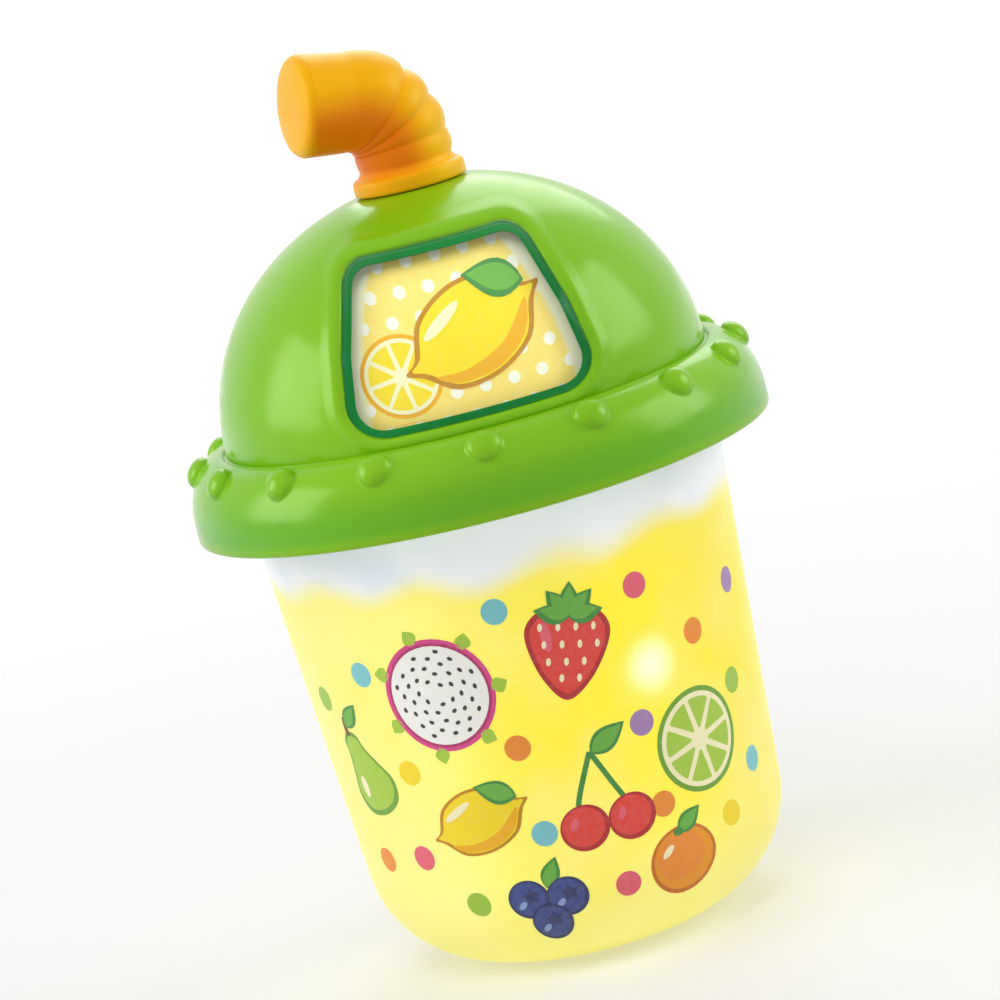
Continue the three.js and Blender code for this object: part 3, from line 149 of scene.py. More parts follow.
# Each of the straw's ribs has its length, how far it swells on the bend's outside, and a power
# that leans its crest towards its end
straw = SimpleNamespace(
    foot=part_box("straw")[0].z,
    flange=12 * MM,
    flange_thick=3.7 * MM,
    flange_foot_round=0.6 * MM,
    flange_round=1.5 * MM,
    neck=9.9 * MM,
    neck_flare=10.7 * MM,
    straight=8.3 * MM,
    bend=12.2 * MM,
    turn=math.radians(80),
    tube=10.35 * MM,
    mouth_length=12.0 * MM,
    mouth_flare=0.79,
    mouth=10.8 * MM,
    end_round=2.4 * MM,
    end_crown=0.5 * MM,
    ribs=(
        (4.3 * MM, 0.6 * MM, 1.0),
        (4.3 * MM, 0.85 * MM, 1.0),
        (4.3 * MM, 1.0 * MM, 0.9),
        (7.4 * MM, 1.1 * MM, 0.55),
    ),
    rib_inside=0.25 * MM,
    rib_steps=12,
    rest=math.radians(20),
    socket=12 * MM,
    sides=72,
)
straw.ribs_length = sum(length for length, swell, lean in straw.ribs)
straw.ribs_start = straw.straight + straw.bend * straw.turn - straw.ribs_length

drum = SimpleNamespace(
    inset=5.5 * MM,
    wall=1.6 * MM,
    skirt=dome.base - 5.3 * MM,
    top=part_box("picture_drum")[1].z,
    pivot_foot=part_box("picture_drum")[0].z,
    panels=6,
    pivot=5.5 * MM,
    pivot_bore=3.8 * MM,
    hub=8.7 * MM,
    socket=8 * MM,
    ledge=2.5 * MM,
    cam=11 * MM,
    cam_thick=4 * MM,
)
drum.cam_bottom = drum.pivot_foot + 7 * MM
drum.picture_middle = pane.middle - 1.8 * MM

door_low, door_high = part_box("battery_door")
door = SimpleNamespace(
    half_width=door_high.x,
    low=door_low.z,
    high=door_high.z,
    corner=4 * MM,
    boss=4.6 * MM,
    boss_wall=1.2 * MM,
    boss_root=1 * MM,
    recess=2.8 * MM,
    screw_height=middle_of("door_screw").z,
    screw_face=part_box("door_screw")[1].y,
)

speaker = SimpleNamespace(
    height=middle_of("speaker").z,
    slots=5,
    slot_height=1.8 * MM,
    pitch=3.7 * MM,
    grille=10 * MM,
)

toggle = SimpleNamespace(
    turn=math.radians(-48),
    height=speaker.height,
    travel=3.5 * MM,
    slot_corner=0.6 * MM,
    slot_depth=5 * MM,
    knob_half_width=2.6 * MM,
    knob_half_height=2 * MM,
    knob_round=0.4 * MM,
    knob_behind=2.2 * MM,
    ridge=(0.7 * MM, 1 * MM, 3.7 * MM),
    ridge_round=0.25 * MM,
    proud=1.6 * MM,
    half_width=10 * MM,
    half_height=4.6 * MM,
    depth=1 * MM,
    corner=2 * MM,
)


def cup_radius(height):
    """Outer radius of the cup's taper."""
    return cup.foot + cup.slope * height


toggle.face = cup_radius(toggle.height) - toggle.depth

# Modelling by hand


def begin(name, kind, **settings):
    """Adds a primitive, alone in the selection, with its place in its mesh."""
    bpy.ops.object.select_all(action="DESELECT")
    getattr(bpy.ops.mesh, f"primitive_{kind}_add")(**settings)
    piece = bpy.context.object
    piece.name = name
    bpy.ops.object.transform_apply(location=True, rotation=True, scale=True)
    return piece


def pick(*pieces):
    """Selects these pieces alone and makes the first active."""
    bpy.ops.object.select_all(action="DESELECT")
    for piece in pieces:
        piece.select_set(True)
    bpy.context.view_layer.objects.active = pieces[0]


def edit(piece):
    """Opens a piece for editing with all of it selected."""
    pick(piece)
    bpy.ops.object.mode_set(mode="EDIT")
    bpy.ops.mesh.select_all(action="SELECT")


def close(piece):
    """Welds what meets, points the faces outwards and leaves edit mode."""
    bpy.ops.mesh.select_all(action="SELECT")
    bpy.ops.mesh.remove_doubles(threshold=WELD)
    bpy.ops.mesh.normals_make_consistent(inside=False)
    bpy.ops.object.mode_set(mode="OBJECT")
    return piece


def extrude(x=0.0, y=0.0, z=0.0):
    """Extrudes the selection and moves what it adds."""
    bpy.ops.mesh.extrude_region_move(TRANSFORM_OT_translate={"value": (x, y, z)})


def resize_selected(share, centre, upright):
    """Scales the selection about a centre by a share, and by another one upright."""
    bpy.ops.transform.resize(value=(share, share, upright), center_override=centre)


def rotate_selected(angle, axis, centre):
    """Turns the selection right-handed; without a window the operator turns the other way."""
    bpy.ops.transform.rotate(
        value=-angle, orient_axis=axis, orient_type="GLOBAL", center_override=centre
    )


def turned(piece, angle, axis="Z"):
    """Turns a whole piece about an axis through the origin, in its mesh."""
    piece.data.transform(Matrix.Rotation(angle, 4, axis))
    return piece


def joined(*pieces):
    """Joins pieces into the first."""
    pick(*pieces)
    bpy.ops.object.join()
    return bpy.context.object


def copied(piece, name):
    """A copy with a mesh of its own."""
    twin = piece.copy()
    twin.data = piece.data.copy()
    twin.name = name
    bpy.context.collection.objects.link(twin)
    return twin


def spun(name, profile, steps=SPIN_STEPS):
    """Draws a profile of (radius, height) from one vertex and spins it about Z."""
    piece = begin(name, "plane", size=MM)
    edit(piece)
    bpy.ops.mesh.merge(type="CENTER")
    bpy.ops.transform.translate(value=(profile[0][0], 0, profile[0][1]))
    for (radius, height), (next_radius, next_height) in zip(profile, profile[1:]):
        extrude(x=next_radius - radius, z=next_height - height)
    bpy.ops.mesh.select_all(action="SELECT")
    bpy.ops.mesh.spin(steps=steps, angle=TURN, center=(0, 0, 0), axis=(0, 0, 1))
    return close(piece)


def warped(name, columns, rows, place):
    """A grid laid by place(column, row), welded where its edges meet."""
    piece = begin(name, "grid", x_subdivisions=columns, y_subdivisions=rows)
    for index, vertex in enumerate(piece.data.vertices):
        row, column = divmod(index, columns + 1)
        vertex.co = place(column, row)
    edit(piece)
    return close(piece)


def slab(name, outline, back, front):
    """A flat outline of (x, z), seen from -Y, drawn out along Y from back to front."""
    piece = begin(name, "circle", vertices=len(outline), radius=MM, fill_type="NGON")
    for vertex, (x, z) in zip(piece.data.vertices, outline):
        vertex.co = (x, back, z)
    edit(piece)
    extrude(y=front - back)
    return close(piece)


def rod(name, radius, low, high, height):
    """A round bar along Y at a height."""
    sides = 48
    turns = [(i + 0.5) * TURN / sides for i in range(sides)]
    outline = [(radius * math.cos(a), height + radius * math.sin(a)) for a in turns]
    return slab(name, outline, high, low)


def block(name, middle, size):
    """A box about its middle."""
    return begin(name, "cube", size=1, location=middle, scale=size)


def combined(piece, operation, *tools):
    """Cuts, joins or trims a piece by tools, which go."""
    for tool in tools:
        modifier = piece.modifiers.new(operation, "BOOLEAN")
        modifier.operation = operation
        modifier.solver = "EXACT"
        modifier.object = tool
        pick(piece)
        bpy.ops.object.modifier_apply(modifier=modifier.name)
        bpy.data.objects.remove(tool)
    return piece


def bevelled(piece, width):
    """Rounds a piece's sharp edges."""
    modifier = piece.modifiers.new("edge", "BEVEL")
    modifier.width = width
    modifier.segments = 3
    modifier.limit_method = "ANGLE"
    modifier.angle_limit = math.radians(40)
    pick(piece)
    bpy.ops.object.modifier_apply(modifier=modifier.name)
    return piece


def settle(piece, finish, body, slot, *replaced, sharp=35):
    """Gives a piece its finish, its body and the solids that it stands for."""
    if finish:
        piece.data.materials.clear()
        piece.data.materials.append(finish)
    pick(piece)
    bpy.ops.object.shade_smooth_by_angle(angle=math.radians(sharp))
    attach(piece, body)
    if replaced:
        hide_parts(*replaced)
    return piece


# Outlines


def arc(centre, across, up, start, end, steps):
    """Points along an ellipse from one angle to another."""
    angles = [start + (end - start) * i / steps for i in range(steps + 1)]
    return [(centre[0] + across * math.cos(a), centre[1] + up * math.sin(a)) for a in angles]


def rounded(corners, steps=8):
    """A closed outline with a round at each corner; a corner is (x, z, radius)."""
    points = []
    for i, (x, z, radius) in enumerate(corners):
        at = Vector((x, z))
        back = (Vector(corners[i - 1][:2]) - at).normalized()
        ahead = (Vector(corners[(i + 1) % len(corners)][:2]) - at).normalized()
        half = math.acos(back.dot(ahead)) / 2
        centre = at + (back + ahead).normalized() * radius / math.sin(half)
        start = at + back * radius / math.tan(half) - centre
        end = at + ahead * radius / math.tan(half) - centre
        first = math.atan2(start.y, start.x)
        sweep = math.remainder(math.atan2(end.y, end.x) - first, TURN)
        points += arc(centre, radius, radius, first, first + sweep, steps)
    return points


def evenly(points, spacing):
    """A closed outline with a point every so often."""
    loop = [Vector(p) for p in points] + [Vector(points[0])]
    lengths = [(b - a).length for a, b in zip(loop, loop[1:])]
    count = round(sum(lengths) / spacing)
    step = sum(lengths) / count
    result = []
    travelled = 0.0
    for a, b, length in zip(loop, loop[1:], lengths):
        while len(result) < count and len(result) * step < travelled + length:
            result.append(a.lerp(b, (len(result) * step - travelled) / length))
        travelled += length
    return result


def box_outline(half_width, low, high, corner):
    """A rounded rectangle about x = 0."""
    sides = ((-half_width, low), (half_width, low), (half_width, high), (-half_width, high))
    return rounded([(x, z, corner) for x, z in sides])


def middle_outline(half_width, middle, half_height, corner):
    """A rounded rectangle about x = 0 and a height."""
    return box_outline(half_width, middle - half_height, middle + half_height, corner)


# Colours and finishes

SMOOTH = {"interpolation_type": "SMOOTHSTEP"}
IN_COLOUR = {"data_type": "RGBA"}


def colour(code):
    """The linear colour of an sRGB hex code."""
    channels = [int(code[i : i + 2], 16) / 255 for i in (0, 2, 4)]
    return (*[c / 12.92 if c <= 0.04045 else ((c + 0.055) / 1.055) ** 2.4 for c in channels], 1.0)


def add(tree, kind, inputs=(), **settings):
    """Adds a shader node with its settings. Its inputs come by name, or in the order of those that
    the settings leave in use, and each is a value, a socket to link or a node whose first output
    in use is linked."""
    node = tree.nodes.new("ShaderNode" + kind)
    for name, value in settings.items():
        setattr(node, name, value)
    if isinstance(inputs, dict):
        pairs = [(node.inputs[name], value) for name, value in inputs.items()]
    else:
        pairs = zip([socket for socket in node.inputs if socket.enabled], inputs)
    for socket, value in pairs:
        if isinstance(value, bpy.types.Node):
            value = next(output for output in value.outputs if output.enabled)
        if isinstance(value, bpy.types.NodeSocket):
            tree.links.new(value, socket)
        else:
            socket.default_value = value
    return node


def placed(tree):
    """A place on the object in its own metres, whole and as X, Y and Z."""
    place = add(tree, "TexCoord").outputs["Object"]
    return place, add(tree, "SeparateXYZ", [place]).outputs


def cloudy(tree, size, detail=2.0):
    """Noise from 0 to 1 whose features are about a size in metres across."""
    place = add(tree, "TexCoord").outputs["Object"]
    return add(tree, "TexNoise", {"Vector": place, "Scale": 1 / size, "Detail": detail})


def patchy(tree, size, low, high):
    """Soft patches about a size in metres across, of values from low to high."""
    return add(tree, "MapRange", [cloudy(tree, size), 0.3, 0.7, low, high], **SMOOTH)


def started(name):
    """A new material and its node tree, still empty."""
    made = bpy.data.materials.new(name)
    made.use_nodes = True
    made.node_tree.nodes.clear()
    return made, made.node_tree


def surfaced(made, tint, glow=None, **sockets):
    """Ends a material with its main shader: a colour, a glow of that colour and other sockets."""
    named = {key.replace("_", " "): value for key, value in sockets.items()}
    named["Base Color"] = tint
    if glow:
        named.update({"Emission Color": tint, "Emission Strength": glow})
    shader = add(made.node_tree, "BsdfPrincipled", named)
    add(made.node_tree, "OutputMaterial", {"Surface": shader})
    return made


def painted_bend_shade(tree):
    """How much painted shade a place on the straw takes: most inside its bend and under its tube."""
    place, axes = placed(tree)
    ahead = (math.cos(straw.rest), math.sin(straw.rest), 0)
    across = add(tree, "VectorMath", [place, ahead], operation="DOT_PRODUCT")
    aside = add(tree, "Math", [across, straw.bend], operation="ADD")
    aside = add(tree, "Math", [aside, 0.0], operation="MAXIMUM")
    height = axes["Z"]
    above = add(tree, "Math", [height, straw.foot + straw.straight], operation="SUBTRACT")
    above = add(tree, "Math", [above, 0.0], operation="MAXIMUM")
    flat = add(tree, "CombineXYZ", [aside, above])
    reach = add(tree, "VectorMath", [flat], operation="LENGTH")
    inside = add(tree, "MapRange", [reach, 8 * MM, 17 * MM, 1.0, 0.0], **SMOOTH)
    mouth = straw.bend + straw.mouth_length
    before_mouth = add(tree, "MapRange", [across, 1 * MM - mouth, 5 * MM - mouth], **SMOOTH)
    inside = add(tree, "Math", [inside, before_mouth], operation="MULTIPLY")
    flange = straw.foot + straw.flange_thick
    past_flange = add(tree, "MapRange", [height, flange - 1 * MM, flange + 2 * MM, 0.3, 1.0], **SMOOTH)
    return add(tree, "Math", [inside, past_flange], operation="MULTIPLY")


def painted_rim_shade(tree):
    """How much painted shade a place on the lid takes: most at the middle of the rim's upright band.
    """
    height = placed(tree)[1]["Z"]
    above = add(tree, "MapRange", [height, rim.bottom, rim.shoulder_start], **SMOOTH)
    below = add(tree, "MapRange", [height, rim.shoulder_start, rim.top - 2 * MM, 0.6, 0.0], **SMOOTH)
    return add(tree, "Math", [above, below], operation="MULTIPLY")


def moulded(name, tone, deeper, roughness, shade=None, peel=14 * MM, glow=0.0, **sockets):
    """Injection-moulded plastic: clouded colour, uneven gloss and the mould's slight waviness; where
    asked, also a painted shade and a glow.
    """
    made, tree = started(name)
    cloud = add(tree, "MapRange", [cloudy(tree, 40 * MM, 0.0), 0.25, 0.75], **SMOOTH)
    tint = add(tree, "Mix", [cloud, colour(tone), colour(deeper)], **IN_COLOUR)
    # painted shade: a darker tone mixed in where the mask says
    if shade:
        place, shade_tone = shade
        tint = add(tree, "Mix", [place(tree), tint, colour(shade_tone)], **IN_COLOUR)
    gloss = patchy(tree, 6 * MM, roughness - 0.05, roughness + 0.05)
    waves = add(tree, "Bump", {"Distance": 0.0015 * peel, "Height": cloudy(tree, peel, 0.0)})
    return surfaced(made, tint, glow, Roughness=gloss, Normal=waves, **sockets)


# ABS, injection moulded in a polished mould: grass green and glossy, with a painted shade that makes
# the rim's band a deeper green
LIME_SHEEN = (0.82, 1.0, 0.55, 1.0)
abs_green = moulded(
    "glossy_green_abs",
    "8FCC14",
    "84C60E",
    0.21,
    shade=(painted_rim_shade, "4FB024"),
    IOR=1.54,
    Specular_IOR_Level=0.4,
    Specular_Tint=LIME_SHEEN,
)

# The same ABS on the window's ledge, darker: a painted shade under the clear face, deep green
painted_shade_green = moulded("deep_green_abs", "02883A", "027A33", 0.6, IOR=1.54, Specular_IOR_Level=0.05)

# ABS, injection moulded: a warm yellow orange, a little less glossy than the lid, with a faint
# painted glow; a painted shade makes the inside of the bend and the tube's underside a deeper orange
AMBER_SHEEN = (1.0, 0.8, 0.35, 1.0)
abs_orange = moulded(
    "satin_orange_abs",
    "FFC406",
    "FCB804",
    0.38,
    shade=(painted_bend_shade, "F07C0A"),
    glow=0.07,
    IOR=1.54,
    Specular_IOR_Level=0.3,
    Specular_Tint=AMBER_SHEEN,
)

# ABS, injection moulded: bright white inner parts, satin
abs_white = moulded("satin_white_abs", "EEF1F3", "E6EAED", 0.45, IOR=1.54)

# POM, injection moulded: the waxy white of sliding and turning parts
pom_white = moulded("waxy_white_pom", "F1F1EC", "EAEAE3", 0.35, IOR=1.48)

# Nylon, injection moulded: black housings with a fine spark-eroded grain
nylon_black = moulded("grained_black_nylon", "26282D", "1D1F23", 0.55, peel=0.5 * MM, IOR=1.53)

# PVC, extruded: a soft grey cable skin
pvc_grey = moulded("soft_grey_pvc", "8C9097", "81868D", 0.55, IOR=1.53)

# Epoxy, cast: a clear lamp body with a warm white tint, lit
epoxy_lamp = moulded("warm_lamp_epoxy", "FFF6D8", "FFF0C4", 0.12, glow=0.6, IOR=1.55)


def lit_polypropylene():
    """Polypropylene, moulded thin and milky: the yellow light of a lamp inside is painted as colour
    and glow, and the white liner behind the mouth shows as a band with a soft, wavy lower edge."""
    made, tree = started("milky_lit_polypropylene")
    place, axes = placed(tree)
    # painted light: yellow round the brightest spot, paler away from it and near the bottom
    away = add(tree, "VectorMath", [place, cup.brightest], operation="DISTANCE")
    spread = add(tree, "MapRange", [away, 12 * MM, 78 * MM], **SMOOTH)
    low = add(tree, "MapRange", [axes["Z"], 2 * MM, 40 * MM, 1.0, 0.0], **SMOOTH)
    pale = add(tree, "Math", [spread, low], operation="MAXIMUM")
    yellow = add(tree, "Mix", [pale, colour("FDE932"), colour("F6F083")], **IN_COLOUR)
    cloud = add(tree, "MapRange", [cloudy(tree, 22 * MM), 0.35, 0.7, 0.0, 0.35], **SMOOTH)
    yellow = add(tree, "Mix", [cloud, yellow, colour("FBF3A0")], **IN_COLOUR)
    # painted highlight: a near-white hot spot at the brightest place
    core = add(tree, "MapRange", [away, 1 * MM, 8 * MM, 0.8, 0.0], **SMOOTH)
    yellow = add(tree, "Mix", [core, yellow, colour("FFFAD2")], **IN_COLOUR)

    around = add(tree, "Math", [axes["X"], axes["Y"]], operation="ARCTAN2")
    around = add(tree, "Math", [around, 12.0], operation="MULTIPLY")
    wave = add(tree, "Math", [around], operation="SINE")
    wave = add(tree, "Math", [wave, 1.1 * MM], operation="MULTIPLY")
    drift = [cloudy(tree, 20 * MM, 0.4), 0.25, 0.75, -1.4 * MM, 1.4 * MM]
    wave = add(tree, "Math", [wave, add(tree, "MapRange", drift, **SMOOTH)], operation="ADD")
    edge = add(tree, "Math", [axes["Z"], wave], operation="ADD")
    band = add(tree, "MapRange", [edge, 85.5 * MM, 92.5 * MM], **SMOOTH)
    shadow = add(tree, "MapRange", [cloudy(tree, 18 * MM), 0.4, 0.7], **SMOOTH)
    snow = add(tree, "Mix", [shadow, colour("F6F7FD"), colour("E6ECF8")], **IN_COLOUR)
    tint = add(tree, "Mix", [band, yellow, snow], **IN_COLOUR)

    # painted glow: more in front than behind, more in the middle than at the sides, less on the band
    glow = add(tree, "MapRange", [axes["Y"], -10 * MM, 30 * MM, 0.3, 0.1], **SMOOTH)
    aside = add(tree, "Math", [axes["X"]], operation="ABSOLUTE")
    aside = add(tree, "MapRange", [aside, 15 * MM, 46 * MM, 1.25, 0.7], **SMOOTH)
    through_liner = add(tree, "MapRange", [band, 0.0, 1.0, 1.0, 0.9], **SMOOTH)
    for share in (aside, through_liner):
        glow = add(tree, "Math", [glow, share], operation="MULTIPLY")
    glow = add(tree, "Math", [core, 0.3, glow], operation="MULTIPLY_ADD")
    gloss = patchy(tree, 5 * MM, 0.38, 0.46)
    grain = add(tree, "Bump", {"Distance": 0.01 * MM, "Height": cloudy(tree, 1.8 * MM)})
    return surfaced(made, tint, glow, IOR=1.49, Roughness=gloss, Normal=grain)


def clear_styrene():
    """Polystyrene, moulded clear and polished: its face stays clear, its round edge glints where it
    turns away, and light from lamps passes straight through it."""
    made, tree = started("polished_clear_styrene")
    away = add(tree, "LayerWeight", {"Blend": 0.5}).outputs["Facing"]
    glint = add(tree, "MapRange", [away, 0.34, 0.6, 0.06, 0.9], **SMOOTH)
    whiter = add(tree, "MapRange", [away, 0.34, 0.6], **SMOOTH)
    sheen = add(tree, "Mix", [whiter, (0.1, 0.12, 0.11, 1.0), (1.0, 1.0, 1.0, 1.0)], **IN_COLOUR)
    clear = {
        "Base Color": colour("FDFFFE"),
        "IOR": 1.57,
        "Transmission Weight": 1.0,
        "Roughness": patchy(tree, 9 * MM, 0.0, 0.04),
        "Specular IOR Level": glint,
        "Specular Tint": sheen,
    }
    shader = add(tree, "BsdfPrincipled", clear)
    passing = add(tree, "BsdfTransparent", {"Color": colour("F6FCF9")})
    ray = add(tree, "LightPath").outputs["Is Shadow Ray"]
    add(tree, "OutputMaterial", {"Surface": add(tree, "MixShader", [ray, shader, passing])})
    return made


def printed_panels(tones, dot, pitch):
    """Offset print on the drum: six pastel panels, each with rows of white dots and pale edges, and a
    faint painted glow.
    """
    made, tree = started("dotted_drum_print")
    axes = placed(tree)[1]
    panel_turn = TURN / drum.panels
    ahead = add(tree, "Math", [axes["Y"], -1.0], operation="MULTIPLY")
    angle = add(tree, "Math", [axes["X"], ahead], operation="ARCTAN2")
    angle = add(tree, "Math", [angle, pane.turn], operation="SUBTRACT")
    offset = add(tree, "Math", [angle, panel_turn / 2, -panel_turn / 2], operation="WRAP")
    panel = add(tree, "Math", [angle, panel_turn], operation="DIVIDE")
    panel = add(tree, "Math", [panel], operation="ROUND")
    panel = add(tree, "Math", [panel, float(drum.panels)], operation="FLOORED_MODULO")

    flat = add(tree, "CombineXYZ", [axes["X"], axes["Y"]])
    radius = add(tree, "VectorMath", [flat], operation="LENGTH")
    across = add(tree, "Math", [offset], operation="SINE")
    across = add(tree, "Math", [radius, across], operation="MULTIPLY")
    row_pitch = 0.866 * pitch
    row = add(tree, "Math", [axes["Z"], row_pitch], operation="DIVIDE")
    row = add(tree, "Math", [row], operation="ROUND")
    odd_row = add(tree, "Math", [row, 2.0], operation="MODULO")
    across = add(tree, "Math", [odd_row, pitch / 2, across], operation="MULTIPLY_ADD")
    aside = add(tree, "Math", [across, pitch / 2, -pitch / 2], operation="WRAP")
    above = add(tree, "Math", [axes["Z"], row_pitch / 2, -row_pitch / 2], operation="WRAP")
    spot = add(tree, "CombineXYZ", [aside, above])
    reach = add(tree, "VectorMath", [spot], operation="LENGTH")
    soft = 0.12 * MM
    white_dot = add(tree, "MapRange", [reach, dot / 2 - soft, dot / 2 + soft, 0.92, 0.0], **SMOOTH)

    tint = colour(tones[0])
    for index, tone in enumerate(tones[1:], 1):
        here = add(tree, "Math", [panel, float(index), 0.5], operation="COMPARE")
        tint = add(tree, "Mix", [here, tint, colour(tone)], **IN_COLOUR)
    side = add(tree, "Math", [offset], operation="ABSOLUTE")
    side = add(tree, "MapRange", [side, math.radians(25.5), math.radians(28)], **SMOOTH)
    fibre = patchy(tree, 1.2 * MM, 0.0, 0.06)
    for share, code in ((fibre, "FFFFFF"), (white_dot, "FDFBF0"), (side, "FBF6D8")):
        tint = add(tree, "Mix", [share, tint, colour(code)], **IN_COLOUR)
    return surfaced(made, tint, 0.15, IOR=1.5, Roughness=0.42)


def ink(name, code):
    """Screen-printed ink on plastic: flat, dense colour with a faint mesh and a satin face, and a
    faint painted glow.
    """
    made, tree = started(f"{name}_printing_ink")
    mesh = patchy(tree, 1.2 * MM, 0.0, 0.03)
    tint = add(tree, "Mix", [mesh, colour(code), colour("FFFFFF")], **IN_COLOUR)
    return surfaced(made, tint, 0.1, IOR=1.5, Roughness=patchy(tree, 1.5 * MM, 0.36, 0.46))


def plated(name, tone, roughness, grain):
    """Plated metal: bright, with fine drawn lines and small tarnished clouds."""
    made, tree = started(name)
    cloud = patchy(tree, 3 * MM, 0.0, 0.25)
    tint = add(tree, "Mix", [cloud, colour(tone), colour("8D9094")], **IN_COLOUR)
    place = add(tree, "TexCoord").outputs["Object"]
    drawn = add(tree, "Mapping", {"Vector": place, "Scale": (1.0, 1.0, 8.0)})
    lines = add(tree, "TexNoise", {"Vector": drawn, "Scale": 1 / grain, "Detail": 4.0})
    spread = (roughness - 0.06, roughness + 0.08)
    gloss = add(tree, "MapRange", [lines, 0.3, 0.7, *spread], **SMOOTH)
    return surfaced(made, tint, Metallic=1.0, Roughness=gloss)


def solder_mask():
    """Fibreglass under a green solder mask: copper tracks show through as lighter lines."""
    made, tree = started("green_solder_mask")
    axes = placed(tree)[1]
    laid = add(tree, "CombineXYZ", [axes["X"], axes["Z"]])
    sizes = {"Scale": 1.0, "Mortar Size": 0.25 * MM, "Brick Width": 7 * MM, "Row Height": 1.6 * MM}
    tracks = add(tree, "TexBrick", {"Vector": laid, **sizes}).outputs["Fac"]
    tint = add(tree, "Mix", [tracks, colour("1F6B3C"), colour("3C8B54")], **IN_COLOUR)
    return surfaced(made, tint, IOR=1.55, Roughness=0.35)


def sleeve():
    """Shrink sleeve on a battery cell: blue with a silver band towards each end."""
    made, tree = started("printed_cell_sleeve")
    along = add(tree, "Math", [placed(tree)[1]["X"]], operation="ABSOLUTE")
    silver = add(tree, "MapRange", [along, 9 * MM, 9.4 * MM], **SMOOTH)
    tint = add(tree, "Mix", [silver, colour("2F5FA8"), colour("C9CDD2")], **IN_COLOUR)
    worn = patchy(tree, 4 * MM, 0.0, 0.1)
    tint = add(tree, "Mix", [worn, tint, colour("1B2F55")], **IN_COLOUR)
    return surfaced(made, tint, IOR=1.52, Roughness=0.3)


lit_cup = lit_polypropylene()
clear_lens = clear_styrene()
PANEL_TONES = ["FFE272", "FFBFCE", "FFD095", "D8C6EC", "B8DEEE", "D5EC9E"]
drum_print = printed_panels(PANEL_TONES, dot=2.4 * MM, pitch=5.8 * MM)
zinc_steel = plated("zinc_plated_steel", "C9CCD0", 0.3, 0.4 * MM)
nickel_steel = plated("nickel_plated_spring", "CFCDC6", 0.25, 0.5 * MM)
bronze = plated("phosphor_bronze", "C98F5A", 0.3, 0.5 * MM)
circuit_green = solder_mask()
cell_sleeve = sleeve()

INKS = {
    "orange": "F5922F",
    "pink": "EE6478",
    "yellow": "FFE116",
    "purple": "A984B8",
    "blue": "7FCBD2",
    "green": "A0C83C",
    "leaf": "6DB33F",
    "leaf_dark": "3F8F3C",
    "red": "E8453C",
    "red_dark": "B8282C",
    "magenta": "E0458B",
    "magenta_dark": "B42F6C",
    "white": "FBFBF4",
    "cream": "FFF7C9",
    "black": "322F30",
    "gold": "F7B500",
    "gold_dark": "C98A06",
    "amber": "F39C12",
    "amber_dark": "D2700E",
    "lime": "A9CF3D",
    "lime_dark": "6FA52C",
    "navy": "3B4A8C",
    "navy_dark": "2A3466",
    "sky": "8FA3D9",
    "violet": "8B5BA6",
    "violet_dark": "64407C",
    "brown": "7B3F1D",
}
inks = {name: ink(name, code) for name, code in INKS.items()}


# Lid


def dome_curve(inset, end_radius, steps):
    """Outline of an inset of the dome from its foot up to a radius."""
    across = dome.radius - inset
    up = dome.height - inset
    power = 2 / dome.power
    last = math.acos((end_radius / across) ** (1 / power))
    angles = [last * i / steps for i in range(steps + 1)]
    return [(across * math.cos(a) ** power, dome.base + up * math.sin(a) ** power) for a in angles]


def dome_height(radius):
    """Height of the dome at a radius."""
    share = (radius / dome.radius) ** dome.power
    return dome.base + dome.height * (1 - share) ** (1 / dome.power)


def dome_share(height, inset):
    """How far up an inset of the dome a height lies, from 0 to 1."""
    return min(max((height - dome.base) / (dome.height - inset), 0.0), 1.0)


def dome_radius(height, inset):
    """Radius at which an inset of the dome reaches a height."""
    share = dome_share(height, inset) ** dome.power
    return (dome.radius - inset) * (1 - share) ** (1 / dome.power)


def on_dome(x, z, inset=0.0, lift=0.0):
    """The point of an inset of the dome that is seen at x and z from the front, and lifted off it."""
    radius = dome_radius(z, inset)
    point = Vector((x, -math.sqrt(max(radius**2 - x**2, 0.0)), z))
    steep = dome.power * radius ** (dome.power - 1) / (dome.radius - inset) ** dome.power
    normal = Vector((point.x, point.y, 0)) * steep / radius
    up = dome.height - inset
    normal.z = dome.power * dome_share(z, inset) ** (dome.power - 1) / up
    return point + normal.normalized() * lift


def lid_profile():
    """The lid's section: rolled rim, crease, dome, straw seat, inner dome and clamping rib."""
    seat = dome_height(dome.seat)
    hub_bottom = seat - dome.hub_depth
    foot = (rim.shoulder, rim.shoulder_start)
    edge = (rim.radius - rim.edge_round, rim.bottom + rim.edge_round)
    lip = (rim.shoulder, rim.top - rim.lip_round)
    clamp = cup.flange_radius
    inner = (rim.reach - rim.wall, rim.rise - rim.wall)
    clamp_angle = math.acos((clamp + GAP - rim.shoulder) / inner[0])
    return [
        (rim.radius - rim.wall, rim.bottom),
        *arc(edge, rim.edge_round, rim.edge_round, -QUARTER, 0, 5),
        *arc(foot, rim.reach, rim.rise, 0, QUARTER, 26),
        *arc(lip, rim.lip_round, rim.lip_round, QUARTER, 1.9 * QUARTER, 4)[1:],
        *dome_curve(0, dome.seat, 56),
        (dome.bore, seat),
        (dome.bore, hub_bottom),
        (dome.hub, hub_bottom),
        *reversed(dome_curve(dome.wall, dome.hub, 28)),
        (clamp - rim.clamp_wall, dome.base - dome.wall),
        (clamp - rim.clamp_wall, rim.clamp_low),
        (clamp, rim.clamp_low),
        (clamp + GAP, rim.clamp_low + rim.clamp_flare),
        *arc(foot, *inner, clamp_angle, 0, 10),
        (rim.radius - rim.wall, rim.bottom),
    ]


